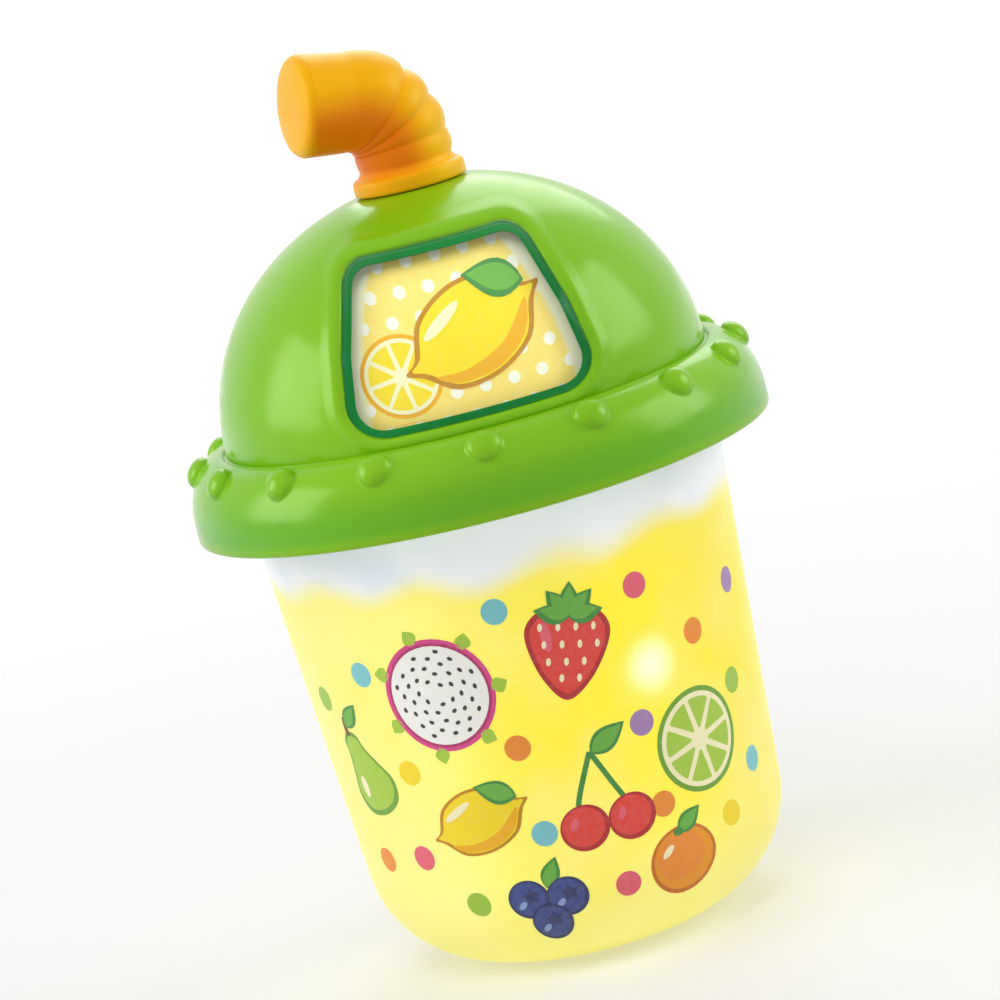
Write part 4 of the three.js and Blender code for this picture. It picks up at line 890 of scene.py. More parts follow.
def window_outline():
    """The window's rounded outline, seen from the front."""
    right = [
        (pane.half_bottom, pane.bottom, pane.bottom_corner),
        (pane.half_middle, pane.middle, pane.side_corner),
        (pane.half_top, pane.top, pane.top_corner),
    ]
    left = [(-x, z, corner) for x, z, corner in right]
    return evenly(rounded([left[0], *right, left[2], left[1]]), pane.step)


window = window_outline()
window_middle = Vector((0, pane.middle))


def beside_window(index, margin):
    """A point of the window's outline, moved outwards by a margin."""
    ahead = window[(index + 1) % len(window)] - window[index - 1]
    outward = Vector((ahead.y, -ahead.x)).normalized()
    return window[index % len(window)] + outward * margin


def around_window(name, section):
    """A ring round the window, from a closed section of (margin, height over the dome) in mm."""

    def place(column, row):
        margin, lift = section[row]
        x, z = beside_window(column % len(window), margin * MM)
        return on_dome(x, z, lift=lift * MM)

    return turned(warped(name, len(window), len(section) - 1, place), pane.turn)


def window_frame():
    """The raised frame: up the opening's wall, over a soft crest and down onto the dome."""
    back = -pane.lining_depth / MM
    wall = [(0.0, back), (0.0, -1.0), (0.03, -0.72), (0.12, -0.48), (0.3, -0.22)]
    crest = [(0.55, 0.02), (0.85, 0.2), (1.2, 0.31), (1.55, 0.35), (1.9, 0.33), (2.25, 0.26)]
    slope = [(2.65, 0.16), (3.1, 0.07), (3.6, 0.01), (4.1, -0.05)]
    root = [(3.4, -1.2), (1.2, back), (0.0, back)]
    return around_window("window_frame", wall + crest + slope + root)


def window_ledge():
    """The ledge that the clear face rests on, a border round the picture in a painted-shade deep
    green.
    """
    inner, outer = -pane.ledge / MM, GAP / MM
    front, back = -pane.ledge_front / MM, -pane.lining_depth / MM
    section = [(outer, back), (inner, back), (inner, front), (outer, front), (outer, back)]
    ledge = around_window("window_ledge", section)
    ledge.data.materials.append(painted_shade_green)
    return ledge


def rim_stud():
    """One stud: a soft round boss whose foot runs out on the rim's shoulder."""
    crown = arc((0, 0), 1.0, 1.0, QUARTER, 0.2 * QUARTER, 9)
    foot = [(0.975, 0.2), (1.01, 0.1), (1.06, 0.03), (1.13, -0.02), (1.2, -0.1)]
    root = [(1.1, -0.5), (0.0, -0.5)]
    shares = crown + foot + root
    sides = 32
    tilt = rim.stud_place
    speed = math.hypot(rim.reach * math.sin(tilt), rim.rise * math.cos(tilt))

    def place(column, row):
        ring, rise = shares[row]
        angle = TURN * column / sides
        along = tilt + ring * rim.stud_along * math.sin(angle) / speed
        normal = Vector((math.cos(along) / rim.reach, math.sin(along) / rim.rise)).normalized()
        lift = normal * rise * rim.stud_proud
        radius = rim.shoulder + rim.reach * math.cos(along) + lift.x
        height = rim.shoulder_start + rim.rise * math.sin(along) + lift.y
        around = ring * rim.stud_across * math.cos(angle) / radius
        return (radius * math.sin(around), -radius * math.cos(around), height)

    return turned(warped("rim_stud", sides, len(shares) - 1, place), rim.stud_turn)


def screw_posts():
    """The bored posts inside the rim that hold the lid's screws."""
    bore = big_screw.shank + GAP
    foot = cup.flange_bottom
    reach = (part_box("lid_base")[1].x - rim.shoulder) / rim.reach
    top = rim.shoulder_start + rim.rise * math.sqrt(1 - reach**2) - rim.wall / 2
    posts = []
    for number in range(1, rim.screws + 1):
        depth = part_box(f"lid_screw_{number}")[1].z + GAP
        outside = [(bore, foot), (rim.post, foot), (rim.post, top), (0.0, top)]
        inside = [(0.0, depth), (bore, depth), (bore, foot)]
        post = spun("screw_post", outside + inside, 24)
        at = middle_of(f"lid_screw_{number}")
        post.data.transform(Matrix.Translation((at.x, at.y, 0)))
        posts.append(post)
    return posts


def lid():
    """The lid: dome, rim, studs, window frame and posts as one moulding, and the green ledge."""
    shell = spun("lid_shell", lid_profile())
    opening = [beside_window(i, pane.cut_margin) for i in range(len(window))]
    cutter = turned(slab("opening", opening, -dome.hub, -rim.radius - GAP), pane.turn)
    combined(shell, "DIFFERENCE", cutter)
    first = rim_stud()
    others = range(1, rim.studs)
    studs = [turned(copied(first, "rim_stud"), TURN * i / rim.studs) for i in others]
    whole = joined(shell, window_frame(), first, *studs, *screw_posts())
    whole.data.materials.append(abs_green)
    whole = joined(whole, window_ledge())
    whole.name = "moulded_lid"
    settle(whole, None, "cup_and_lid", "lid_green", "lid_dome")


def lens():
    """The clear window: a plate behind the opening, whose round-edged face overlaps the ledge."""
    brink = -pane.lens_gap
    flat = brink - pane.lens_round
    stem = brink - pane.ledge
    top = dome.wall + GAP
    back = top + pane.lens_thick
    round_middle = (flat, pane.lens_sunk + pane.lens_round)
    edge = arc(round_middle, pane.lens_round, pane.lens_round, -QUARTER, 0, 5)
    plate = [(brink, pane.face_back), (stem, pane.face_back), (stem, top)]
    plate += [(pane.lens_lap, top), (pane.lens_lap, back)]
    shares = [i / 10 for i in range(10)]
    rows = [(share, flat, pane.lens_sunk) for share in shares]
    rows += [(1, margin, inset) for margin, inset in edge + plate]
    rows += [(share, 0.0, back) for share in reversed(shares)]

    def place(column, row):
        share, margin, inset = rows[row]
        point = window_middle.lerp(beside_window(column % len(window), margin), share)
        return on_dome(point.x, point.y, inset=inset)

    piece = turned(warped("clear_window", len(window), len(rows) - 1, place), pane.turn)
    settle(piece, clear_lens, "cup_and_lid", "window_clear", "window_lens", sharp=50)


def lid_ring():
    """The ring that closes the rim from below, with round edges."""
    low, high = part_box("lid_base")
    inner = cup_radius(high.z) + GAP
    soft = rim.ring_round
    profile = [
        (inner, high.z),
        *arc((inner + soft, low.z + soft), soft, soft, -math.pi, -QUARTER, 4),
        *arc((high.x - soft, low.z + soft), soft, soft, -QUARTER, 0, 4),
        (high.x, high.z),
        (inner, high.z),
    ]
    piece = spun("rim_closing_ring", profile)
    settle(piece, abs_green, "cup_and_lid", "lid_green", "lid_base")


# Cup


def cup_curve(inset, height, steps, rows):
    """Outline of an inset of the cup from its axis up to a height."""
    centre = (cup.foot - cup.corner_tangent, cup.corner)
    soft = cup.corner - inset
    corner = arc(centre, soft, soft, -QUARTER, -cup.lean, steps)
    start = Vector(corner[-1])
    end = Vector((cup_radius(height) - inset / math.cos(cup.lean), height))
    taper = [tuple(start.lerp(end, i / rows)) for i in range(1, rows + 1)]
    return [(0.0, inset), *corner, *taper]


def grille_slots():
    """Cutters for the speaker's grille, whose slots fill a circle."""
    slots = []
    half_height = speaker.slot_height / 2
    for i in range(speaker.slots):
        rise = (i - (speaker.slots - 1) / 2) * speaker.pitch
        half_width = math.sqrt(speaker.grille**2 - rise**2)
        corner = half_height * 0.95
        outline = middle_outline(half_width, speaker.height + rise, half_height, corner)
        slots.append(slab("grille_slot", outline, rim.radius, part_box("speaker")[1].y + GAP))
    return slots


def switch_slab(name, half_width, half_height, corner, back, front):
    """A slab about the switch's middle, turned to where the switch is."""
    outline = middle_outline(half_width, toggle.height, half_height, corner)
    return turned(slab(name, outline, back, front), toggle.turn)


def cup_body():
    """The cup's wall with its flange, the pad for the switch, and the openings in its back."""
    profile = [
        *cup_curve(0, cup.flange_bottom, 18, 24),
        (cup.flange_radius, cup.flange_bottom),
        (cup.flange_radius, cup.flange_top),
        *reversed(cup_curve(cup.wall, cup.flange_top, 12, 12)),
    ]
    shell = spun("milky_cup", profile)
    wide, tall = toggle.half_width, toggle.half_height
    pad = switch_slab(
        "switch_pad",
        wide + cup.wall,
        tall + cup.wall,
        toggle.corner,
        toggle.face + GAP,
        toggle.face - cup.wall,
    )
    combined(shell, "UNION", pad)
    opening = box_outline(door.half_width + GAP, door.low - GAP, door.high + GAP, door.corner)
    slot = switch_slab(
        "switch_slot",
        toggle.travel + toggle.knob_half_width + GAP,
        toggle.knob_half_height + GAP,
        toggle.slot_corner,
        rim.radius,
        toggle.face - toggle.slot_depth,
    )
    recess = switch_slab("switch_recess", wide, tall, toggle.corner, rim.radius, toggle.face)
    door_opening = slab("door_opening", opening, rim.radius, cup.cut_end)
    combined(shell, "DIFFERENCE", door_opening, *grille_slots(), slot, recess)
    settle(shell, lit_cup, "cup_and_lid", "cup_milky", "cup_shell", sharp=30)


def battery_cover():
    """The door: a flush patch of the cup's wall with a screw recess and its boss."""
    heights = [door.low + (door.high - door.low) * i / 12 - MM for i in range(15)]
    slant = cup.wall / math.cos(cup.lean)
    profile = [(cup_radius(z), z) for z in heights]
    profile += [(cup_radius(z) - slant, z) for z in reversed(heights)]
    wall = spun("battery_cover", [*profile, profile[0]])
    outline = box_outline(door.half_width, door.low, door.high, door.corner)
    combined(wall, "INTERSECT", slab("door_outline", outline, rim.radius, cup.cut_end))
    height = door.screw_height
    surface = cup_radius(height)
    boss_front = surface - cup.wall - door.boss_wall - small_screw.crown
    boss = rod("boss", door.boss, boss_front, surface - door.boss_root, height)
    combined(wall, "UNION", boss)
    recess = rod("recess", door.recess, boss_front + door.boss_wall, rim.radius, height)
    hole = rod("hole", small_screw.shank + GAP, cup.cut_end, rim.radius, height)
    combined(wall, "DIFFERENCE", recess, hole)
    settle(wall, lit_cup, "battery_cover", "cup_milky", "battery_door", sharp=30)


# Straw and drum


def straw_foot():
    """Radii and heights of the straw's upright rings: flange, fillet and neck."""
    foot_round = straw.flange_foot_round
    foot = (straw.flange - foot_round, foot_round)
    top_round = straw.flange_round
    top = (straw.flange - top_round, straw.flange_thick - top_round)
    return [
        (dome.bore, 0.0),
        *arc(foot, foot_round, foot_round, -QUARTER, 0, 3),
        *arc(top, top_round, top_round, 0, QUARTER, 6),
        (straw.neck_flare, straw.flange_thick - 0.25 * MM),
        (straw.neck_flare - 0.3 * MM, straw.flange_thick + 0.3 * MM),
        (straw.neck + 0.1 * MM, straw.flange_thick + 0.9 * MM),
        (straw.neck, straw.ribs_start),
    ]


def straw_ribs():
    """Distances along the ribs with each ring's radius and its shift towards the bend's outside."""
    rings = []
    passed = 0.0
    for length, swell, lean in straw.ribs:
        for i in range(1, straw.rib_steps + 1):
            share = i / straw.rib_steps
            distance = passed + length * share
            bump = max(math.sin(math.pi * share**lean), 0.0) ** 0.8
            outside = bump * swell
            inside = bump * straw.rib_inside
            base = straw.neck + (straw.tube - straw.neck) * distance / straw.ribs_length
            rings.append((distance, base + (outside + inside) / 2, (outside - inside) / 2))
        passed += length
    return rings


def straw_mouth():
    """Distances and radii of the mouth's rings: a slight flare, a round end and its low crown."""
    flare_length = straw.mouth_length * straw.mouth_flare
    growth = straw.mouth - straw.tube
    shares = [i / 8 for i in range(1, 9)]
    flare = [(flare_length * share, straw.tube + growth * share**0.6) for share in shares]
    last = straw.mouth_length - straw.end_crown
    soft = straw.end_round
    flat = straw.mouth - soft
    end = arc((last - soft, flat), soft, soft, QUARTER, 0.12 * QUARTER, 7)
    inwards = (0.85, 0.6, 0.35, 0.12)
    crown = [(last + straw.end_crown * math.sqrt(1 - s * s), flat * s) for s in inwards]
    return flare + end + crown


def bent_straw():
    """Rings extruded one from the last: socket, flange, neck, ribbed elbow and mouth."""
    radius = dome.bore
    height = straw.socket
    start = (0, 0, straw.foot + height)
    settings = {"vertices": straw.sides, "radius": radius, "fill_type": "NGON", "location": start}
    piece = begin("bent_straw", "circle", **settings)
    edit(piece)
    for next_radius, next_height in straw_foot():
        extrude(z=next_height - height)
        resize_selected(next_radius / radius, (0, 0, straw.foot + next_height), 1)
        radius, height = next_radius, next_height

    bend_centre = Vector((-straw.bend, 0, straw.foot + straw.straight))
    centre = Vector((0, 0, straw.foot + straw.ribs_start))
    travelled = straw.ribs_start
    heading = 0.0
    shift = 0.0
    for distance, next_radius, next_shift in straw_ribs():
        extrude()
        grow = next_radius / radius
        resize_selected(grow, centre, grow)
        aside = Vector((math.cos(heading), 0, math.sin(heading))) * (next_shift - shift)
        next_travelled = straw.ribs_start + distance
        rise = min(next_travelled, straw.straight) - min(travelled, straw.straight)
        step = aside + Vector((0, 0, rise))
        bpy.ops.transform.translate(value=step)
        centre += step
        next_heading = max(next_travelled - straw.straight, 0.0) / straw.bend
        rotate_selected(heading - next_heading, "Y", bend_centre)
        turning = Matrix.Rotation(heading - next_heading, 3, "Y")
        centre = bend_centre + turning @ (centre - bend_centre)
        radius, shift, heading, travelled = next_radius, next_shift, next_heading, next_travelled

    ahead = Vector((-math.sin(heading), 0, math.cos(heading)))
    along = 0.0
    for next_along, next_radius in straw_mouth():
        step = ahead * (next_along - along)
        extrude(*step)
        centre += step
        grow = next_radius / radius
        resize_selected(grow, centre, grow)
        along, radius = next_along, next_radius
    close(piece)
    turned(piece, straw.rest)
    settle(piece, abs_orange, "straw_and_drum", "straw_orange", "straw", sharp=60)


def picture_drum():
    """The drum: printed shell, hub with the shaft's socket, cam and pivot."""
    inner_inset = drum.inset + drum.wall
    inner_top = drum.top - drum.wall
    socket_floor = drum.top - drum.socket
    ledge = socket_floor - drum.ledge
    bore = big_screw.shank + GAP
    cam_top = drum.cam_bottom + drum.cam_thick
    profile = [
        (dome.radius - drum.inset, drum.skirt),
        *dome_curve(drum.inset, dome_radius(drum.top, drum.inset), 36),
        (dome.bore, drum.top),
        (dome.bore, socket_floor),
        (bore, socket_floor),
        (bore, ledge),
        (drum.pivot_bore, ledge),
        (drum.pivot_bore, drum.pivot_foot),
        (drum.pivot, drum.pivot_foot),
        (drum.pivot, drum.cam_bottom),
        (drum.cam, drum.cam_bottom),
        (drum.cam, cam_top),
        (drum.hub, cam_top),
        (drum.hub, inner_top),
        *reversed(dome_curve(inner_inset, dome_radius(inner_top, inner_inset), 16)),
        (dome.radius - inner_inset, drum.skirt),
        (dome.radius - drum.inset, drum.skirt),
    ]
    piece = spun("printed_drum", profile, 120)
    settle(piece, drum_print, "straw_and_drum", "printed_picture", "picture_drum")


# Prints: each is drawn flat in layers, in millimetres, cut into strips and laid on its surface


def swung(outline, x, z, turn, scale=1.0):
    """An outline scaled, turned by degrees and moved."""
    cos, sin = math.cos(math.radians(turn)) * scale, math.sin(math.radians(turn)) * scale
    return [(x + px * cos - pz * sin, z + px * sin + pz * cos) for px, pz in outline]


def oval(x, z, across, up=None, turn=0.0, steps=40):
    """An ellipse's outline, turned by degrees."""
    points = arc((0, 0), across, up or across, 0, TURN * (steps - 1) / steps, steps - 1)
    return swung(points, x, z, turn)


def leaf(x, z, length, width, turn):
    """A pointed leaf from its stalk, turned by degrees from upright."""
    shares = [i / 10 for i in range(11)]
    edge = [(width / 2 * math.sin(math.pi * s**0.8), length * s) for s in shares]
    return swung(edge + [(-px, pz) for px, pz in reversed(edge[1:-1])], x, z, turn)


def curved(points, steps):
    """A smooth curve through a row of points, from the second to just before the last but one."""
    row = [Vector(point) for point in points]
    path = []
    for a, b, c, d in zip(row, row[1:], row[2:], row[3:]):
        slope = c - a
        bend = 2 * a - 5 * b + 4 * c - d
        twist = 3 * b - a - 3 * c + d
        for step in range(steps):
            t = step / steps
            path.append(0.5 * (2 * b + slope * t + bend * t**2 + twist * t**3))
    return path


def blob(points):
    """A smooth closed outline through a few points."""
    return [tuple(p) for p in curved([points[-1], *points, *points[:2]], 6)]


def stroke(points, width):
    """A line of even width with square ends through a few points."""
    path = curved([points[0], *points, points[-1]], 5) + [Vector(points[-1])]
    left, right = [], []
    for i, at in enumerate(path):
        ahead = (path[min(i + 1, len(path) - 1)] - path[max(i - 1, 0)]).normalized()
        side = Vector((ahead.y, -ahead.x)) * width / 2
        left.append(tuple(at - side))
        right.append(tuple(at + side))
    return right + list(reversed(left))


def grown(outline, share):
    """An outline scaled about its middle."""
    cx = sum(x for x, _ in outline) / len(outline)
    cz = sum(z for _, z in outline) / len(outline)
    return [(cx + (x - cx) * share, cz + (z - cz) * share) for x, z in outline]


def mirrored(points):
    """A closed row of points from its right half, whose first and last lie on its middle line."""
    return points + [(-x, z) for x, z in reversed(points[1:-1])]


def strawberry():
    """A red berry with five sepals and rows of pale seeds."""
    body = blob(mirrored([(0, -11), (5, -6.8), (8.4, 0), (8.7, 4.6), (5.4, 7.8), (0, 7)]))
    shapes = [
        ("red_dark", 0, body),
        ("red", 1, grown(body, 0.88)),
        ("pink", 2, oval(-4.6, 2.2, 1.1, 3.2, 12)),
    ]
    for row, (height, count) in enumerate([(4.2, 4), (0.6, 4), (-3, 3), (-6.4, 2)]):
        for i in range(count):
            x = (i - (count - 1) / 2) * 3.7 + (0.6 if row % 2 else -0.3)
            shapes.append(("cream", 3, oval(x, height, 0.5, 0.85, steps=12)))
    for turn in (-78, -40, 0, 40, 78):
        shapes.append(("leaf_dark", 4, leaf(0, 6.2, 7.4, 4.2, turn)))
        shapes.append(("leaf", 5, leaf(0, 6.6, 6.2, 2.8, turn)))
    return shapes


def cherries():
    """Two cherries on long stalks that meet at a leaf."""
    shapes = []
    for x, z in ((-5.4, -4.4), (5.2, -6.2)):
        shapes += [
            ("leaf_dark", 0, stroke([(x, z + 4), (x * 0.7, 3), (1.5, 11)], 1.2)),
            ("red_dark", 1, oval(x, z, 5.5, 5.2)),
            ("red", 2, oval(x - 0.2, z + 0.3, 4.7, 4.4)),
            ("pink", 3, oval(x - 1.9, z + 1.6, 0.8, 1.5, -30)),
        ]
    shapes.append(("leaf_dark", 1, leaf(1.5, 10.6, 10, 5.4, -70)))
    shapes.append(("leaf", 2, leaf(2, 10.8, 8.6, 3.8, -70)))
    return shapes


def seeded_slice():
    """A round slice of dragon fruit: pink skin, white flesh and black seeds in a spiral."""
    shapes = [
        ("magenta", 0, oval(0, 0, 12.2)),
        ("magenta_dark", 1, oval(0, 0, 11.3)),
        ("white", 2, oval(0, 0, 10.7)),
    ]
    for i in range(2, 46):
        away = 1.42 * math.sqrt(i)
        angle = i * math.radians(137.5)
        at = (away * math.cos(angle), away * math.sin(angle))
        shapes.append(("black", 3, oval(*at, 0.42, 0.6, math.degrees(angle), steps=10)))
    for i in range(7):
        turn = math.radians(360 * i / 7)
        at = (-11.6 * math.sin(turn), 11.6 * math.cos(turn))
        shapes.append(("lime", 0, leaf(*at, 3.6, 3.4, math.degrees(turn) + 22)))
    return shapes


def citrus_wheel(rind, pith, flesh, radius=11.0):
    """A citrus slice: rind, pith and eight rounded segments."""
    shapes = [(rind, 0, oval(0, 0, radius)), (pith, 1, oval(0, 0, radius * 0.9))]
    near, far = radius * 0.16, radius * 0.8
    half = QUARTER / 4 * 0.84
    for i in range(8):
        middle = (i + 0.5) * QUARTER / 2
        corner = (near * math.cos(middle), near * math.sin(middle))
        outline = [corner, *arc((0, 0), far, far, middle - half, middle + half, 8)]
        shapes.append((flesh, 2, rounded([(*p, radius * 0.03) for p in outline], 2)))
    shapes.append((pith, 3, oval(0, 0, radius * 0.12, steps=16)))
    return shapes


def lemon():
    """A whole lemon with a shaded belly and one leaf."""
    upper = [(-13, 0.2), (-10.6, 1.4), (-7, 6), (0, 7.8), (7, 6), (10.6, 1.4), (13, 0.2)]
    lower = [(10.8, -1.6), (7, -6), (0, -7.6), (-7, -6), (-10.8, -1.6)]
    belly = [(-9, -2.6), (-4, -4.2), (3, -3.9), (9.6, -0.6), (6.4, -5), (0, -6.7), (-6.4, -5.2)]
    body = blob(upper + lower)
    return [
        ("gold_dark", 0, body),
        ("yellow", 1, grown(body, 0.91)),
        ("gold", 2, blob(belly)),
        ("cream", 3, oval(-3.6, 4, 4, 0.9, 14)),
        ("leaf_dark", 4, leaf(11, 1.5, 10, 5.6, 52)),
        ("leaf", 5, leaf(10.7, 1.9, 8.8, 4, 52)),
    ]


def tangerine():
    """A tangerine with a pale side, its stalk's foot and one leaf."""
    return [
        ("amber_dark", 0, oval(0, 0, 9, 8.2)),
        ("amber", 1, oval(0, 0.2, 8.1, 7.3)),
        ("orange", 2, oval(-0.8, 1.2, 6.4, 5.4)),
        ("cream", 3, oval(-3.8, 3.4, 1.9, 0.8, 35)),
        ("leaf_dark", 4, leaf(0, 6.8, 8, 4.6, -62)),
        ("leaf", 5, leaf(0.3, 7, 6.8, 3.1, -62)),
        ("leaf_dark", 5, oval(0, 6.9, 1.3, 0.9, steps=16)),
    ]


def blueberries():
    """Three blueberries with starry crowns, over one leaf."""
    shapes = []
    for number, (x, z) in enumerate([(-4.4, 2.2), (4.6, 2.6), (0.3, -3.8)]):
        layer = 3 * number
        shapes.append(("navy_dark", layer, oval(x, z, 4.9)))
        shapes.append(("navy", layer + 1, oval(x - 0.2, z + 0.2, 4.2)))
        shapes.append(("sky", layer + 2, oval(x - 1.6, z - 1.4, 0.7, 1.3, -40)))
        for i in range(5):
            shapes.append(("navy_dark", layer + 2, leaf(x + 0.6, z + 0.9, 2.1, 1.3, 72 * i + 12)))
    shapes.append(("leaf_dark", 0, leaf(0, 5, 8, 4.4, -20)))
    shapes.append(("leaf", 1, leaf(0, 5.3, 6.8, 3, -20)))
    return shapes


def pear():
    """A green pear with a stalk and one leaf."""
    right = [(0, -9.6), (5.4, -8), (7.2, -3.6), (5.2, 1), (3.3, 5), (2.6, 8), (0, 9.6)]
    body = blob(mirrored(right))
    return [
        ("lime_dark", 0, body),
        ("lime", 1, grown(body, 0.88)),
        ("cream", 2, oval(-3.2, -2.4, 1, 2.4, -12)),
        ("brown", 1, stroke([(0, 8.6), (0.4, 10.6), (1.3, 12.4)], 1.2)),
        ("leaf_dark", 2, leaf(0.6, 10.4, 7.6, 4.2, -64)),
        ("leaf", 3, leaf(0.9, 10.6, 6.4, 2.9, -64)),
    ]


def grapes():
    """A bunch of grapes in four rows, with a stalk and a leaf."""
    shapes = []
    for row, (height, count) in enumerate([(5.2, 4), (0.6, 3), (-4, 2), (-8.4, 1)]):
        layer = 3 * (row % 2)
        for i in range(count):
            x = (i - (count - 1) / 2) * 5.1
            shapes.append(("violet_dark", layer, oval(x, height, 3.1)))
            shapes.append(("violet", layer + 1, oval(x - 0.15, height + 0.15, 2.55)))
            shapes.append(("purple", layer + 2, oval(x - 0.9, height + 0.9, 0.8, 0.6, 40)))
    shapes.append(("brown", 0, stroke([(0, 7.4), (0.4, 10), (1.6, 12)], 1.2)))
    shapes.append(("leaf_dark", 6, leaf(0.6, 9, 9, 6, -66)))
    shapes.append(("leaf", 7, leaf(0.9, 9.2, 7.8, 4.4, -66)))
    return shapes


def moved(shapes, x=0.0, z=0.0, scale=1.0, turn=0.0, above=0):
    """Shapes scaled, turned by degrees, moved and raised by layers."""
    return [
        (tone, layer + above, swung(outline, x, z, turn, scale)) for tone, layer, outline in shapes
    ]


PRINT_STEP = 0.03 * MM
PRINT_ROOT = 0.1 * MM
PRINT_STRIP = 2 * MM


def printed(name, shapes, lay, body, slot):
    """Draws shapes as thin slabs, cuts them into strips and lays them on a surface."""
    slabs = []
    for tone, layer, outline in shapes:
        points = [(x * MM, z * MM) for x, z in outline]
        piece = slab(name, points, PRINT_ROOT, -PRINT_STEP * (layer + 1))
        piece.data.materials.append(inks[tone])
        slabs.append(piece)
    whole = joined(*slabs) if len(slabs) > 1 else slabs[0]
    whole.name = name
    low, high = (Vector(whole.bound_box[i]) for i in (0, 6))
    edit(whole)
    for normal in (Vector((1, 0, 0)), Vector((0, 0, 1))):
        start = low.dot(normal)
        for i in range(math.floor((high.dot(normal) - start) / PRINT_STRIP)):
            bpy.ops.mesh.select_all(action="SELECT")
            at = normal * (start + PRINT_STRIP * (i + 1))
            bpy.ops.mesh.bisect(plane_co=at, plane_no=normal)
    bpy.ops.object.mode_set(mode="OBJECT")
    for vertex in whole.data.vertices:
        vertex.co = lay(vertex.co)
    settle(whole, None, body, slot)


def on_cup(azimuth, middle):
    """Lays a drawing on the cup about an azimuth, in degrees right of the front, and a height."""

    def lay(point):
        height = middle + point.z
        if height > cup.corner_top:
            radius = cup_radius(height)
            lean = -cup.lean
        else:
            lean = math.asin((cup.corner - height) / cup.corner)
            radius = cup.foot - cup.corner_tangent + cup.corner * math.cos(lean)
        angle = math.radians(azimuth) + point.x / cup_radius(middle)
        radius += -point.y * math.cos(lean)
        return (radius * math.sin(angle), -radius * math.cos(angle), height + point.y * math.sin(lean))

    return lay


def on_drum(panel):
    """Lays a drawing on one of the drum's panels."""
    turn = Matrix.Rotation(pane.turn + TURN * panel / drum.panels, 3, "Z")

    def lay(point):
        height = drum.picture_middle + point.z
        return turn @ on_dome(point.x, height, inset=drum.inset, lift=-point.y)

    return lay


# Each of the cup's prints has its drawing, azimuth in degrees, height in mm, scale and turn
cup_prints = [
    ("print_seeded_slice", seeded_slice(), -25, 66, 1.0, 10),
    ("print_strawberry", strawberry(), 9, 70, 1.0, -14),
    ("print_cherries", cherries(), 8, 37, 0.95, 8),
    ("print_lime_wheel", citrus_wheel("lime_dark", "cream", "lime"), 39, 42, 1.0, 12),
    ("print_lemon", lemon(), -24, 38, 0.92, 16),
    ("print_tangerine", tangerine(), 27, 19, 0.9, 4),
    ("print_blueberries", blueberries(), -12, 17, 0.9, -8),
    ("print_pear", pear(), -56, 50, 1.0, 18),
]
cup_dots = [
    (-9, 52, "orange"), (-46, 72, "blue"), (-44, 31, "pink"), (-31, 20, "green"), (23, 50, "purple"),
    (29, 78, "pink"), (-6, 81, "blue"), (44, 64, "orange"), (45, 24, "yellow"), (10, 18, "pink"),
    (56, 50, "green"), (-40, 50, "yellow"), (-8, 33, "blue"), (24, 32, "orange"), (59, 32, "blue"),
    (-60, 30, "orange"), (63, 70, "purple"), (-66, 66, "green"),
]
DOT_RADIUS = 2.75


def cup_pictures():
    """The fruit and the round dots on the cup."""
    dots = [
        (f"print_dot_{number}", [(tone, 0, oval(0, 0, DOT_RADIUS))], azimuth, height, 1.0, 0)
        for number, (azimuth, height, tone) in enumerate(cup_dots, 1)
    ]
    for name, shapes, azimuth, height, scale, turn in cup_prints + dots:
        drawing = moved(shapes, scale=scale, turn=turn)
        printed(name, drawing, on_cup(azimuth, height * MM), "cup_and_lid", "cup_milky")


def drum_pictures():
    """One picture on each of the drum's panels; the first shows in the window at rest."""
    wheel = moved(citrus_wheel("gold", "cream", "yellow", radius=8), x=-12.5, z=-5.5, turn=10)
    pictures = [
        wheel + moved(lemon(), x=3.4, z=-0.4, scale=1.22, turn=20, above=5),
        moved(strawberry(), scale=1.3, turn=-12, z=-1),
        moved(tangerine(), scale=1.5, z=-2),
        moved(grapes(), scale=1.25, turn=-8),
        moved(blueberries(), scale=1.6, z=-1),
        moved(pear(), scale=1.3, turn=16, z=-1),
    ]
    for panel, shapes in enumerate(pictures):
        name = f"picture_{panel + 1}"
        printed(name, shapes, on_drum(panel), "straw_and_drum", "printed_picture")


# Small parts


def pan_screw(name, size, place, body, node):
    """A pan-head screw with a cross recess; its head's underside is at 0 and its shank points up."""
    soft = size.crown * 0.45
    profile = [
        (0.0, -size.crown),
        (size.head * 0.45, -size.crown * 0.98),
        *arc((size.head - soft, -size.crown + soft), soft, soft, -QUARTER, 0, 5),
        (size.head, 0.0),
        (size.shank, 0.0),
        (size.shank, size.length - size.shank),
        (0.0, size.length),
    ]
    piece = spun(name, profile, 48)
    for turn in (0, QUARTER):
        arm = block("arm", (0, 0, -size.crown), (size.head * 0.95, size.head * 0.24, size.crown))
        combined(piece, "DIFFERENCE", turned(arm, turn))
    piece.data.transform(place)
    settle(piece, zinc_steel, body, "screw_steel", node)


def screws():
    """The screws that show: those that hold the closing ring, and the door's captive one."""
    for number in range(1, rim.screws + 1):
        node = f"lid_screw_{number}"
        at = middle_of(node)
        at.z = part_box(node)[0].z + big_screw.crown
        pan_screw(f"{node}_driven", big_screw, Matrix.Translation(at), "cup_and_lid", node)
    at = Matrix.Translation((0, door.screw_face - small_screw.crown, door.screw_height))
    place = at @ Matrix.Rotation(QUARTER, 4, "X")
    pan_screw("cover_screw", small_screw, place, "battery_cover", "door_screw")


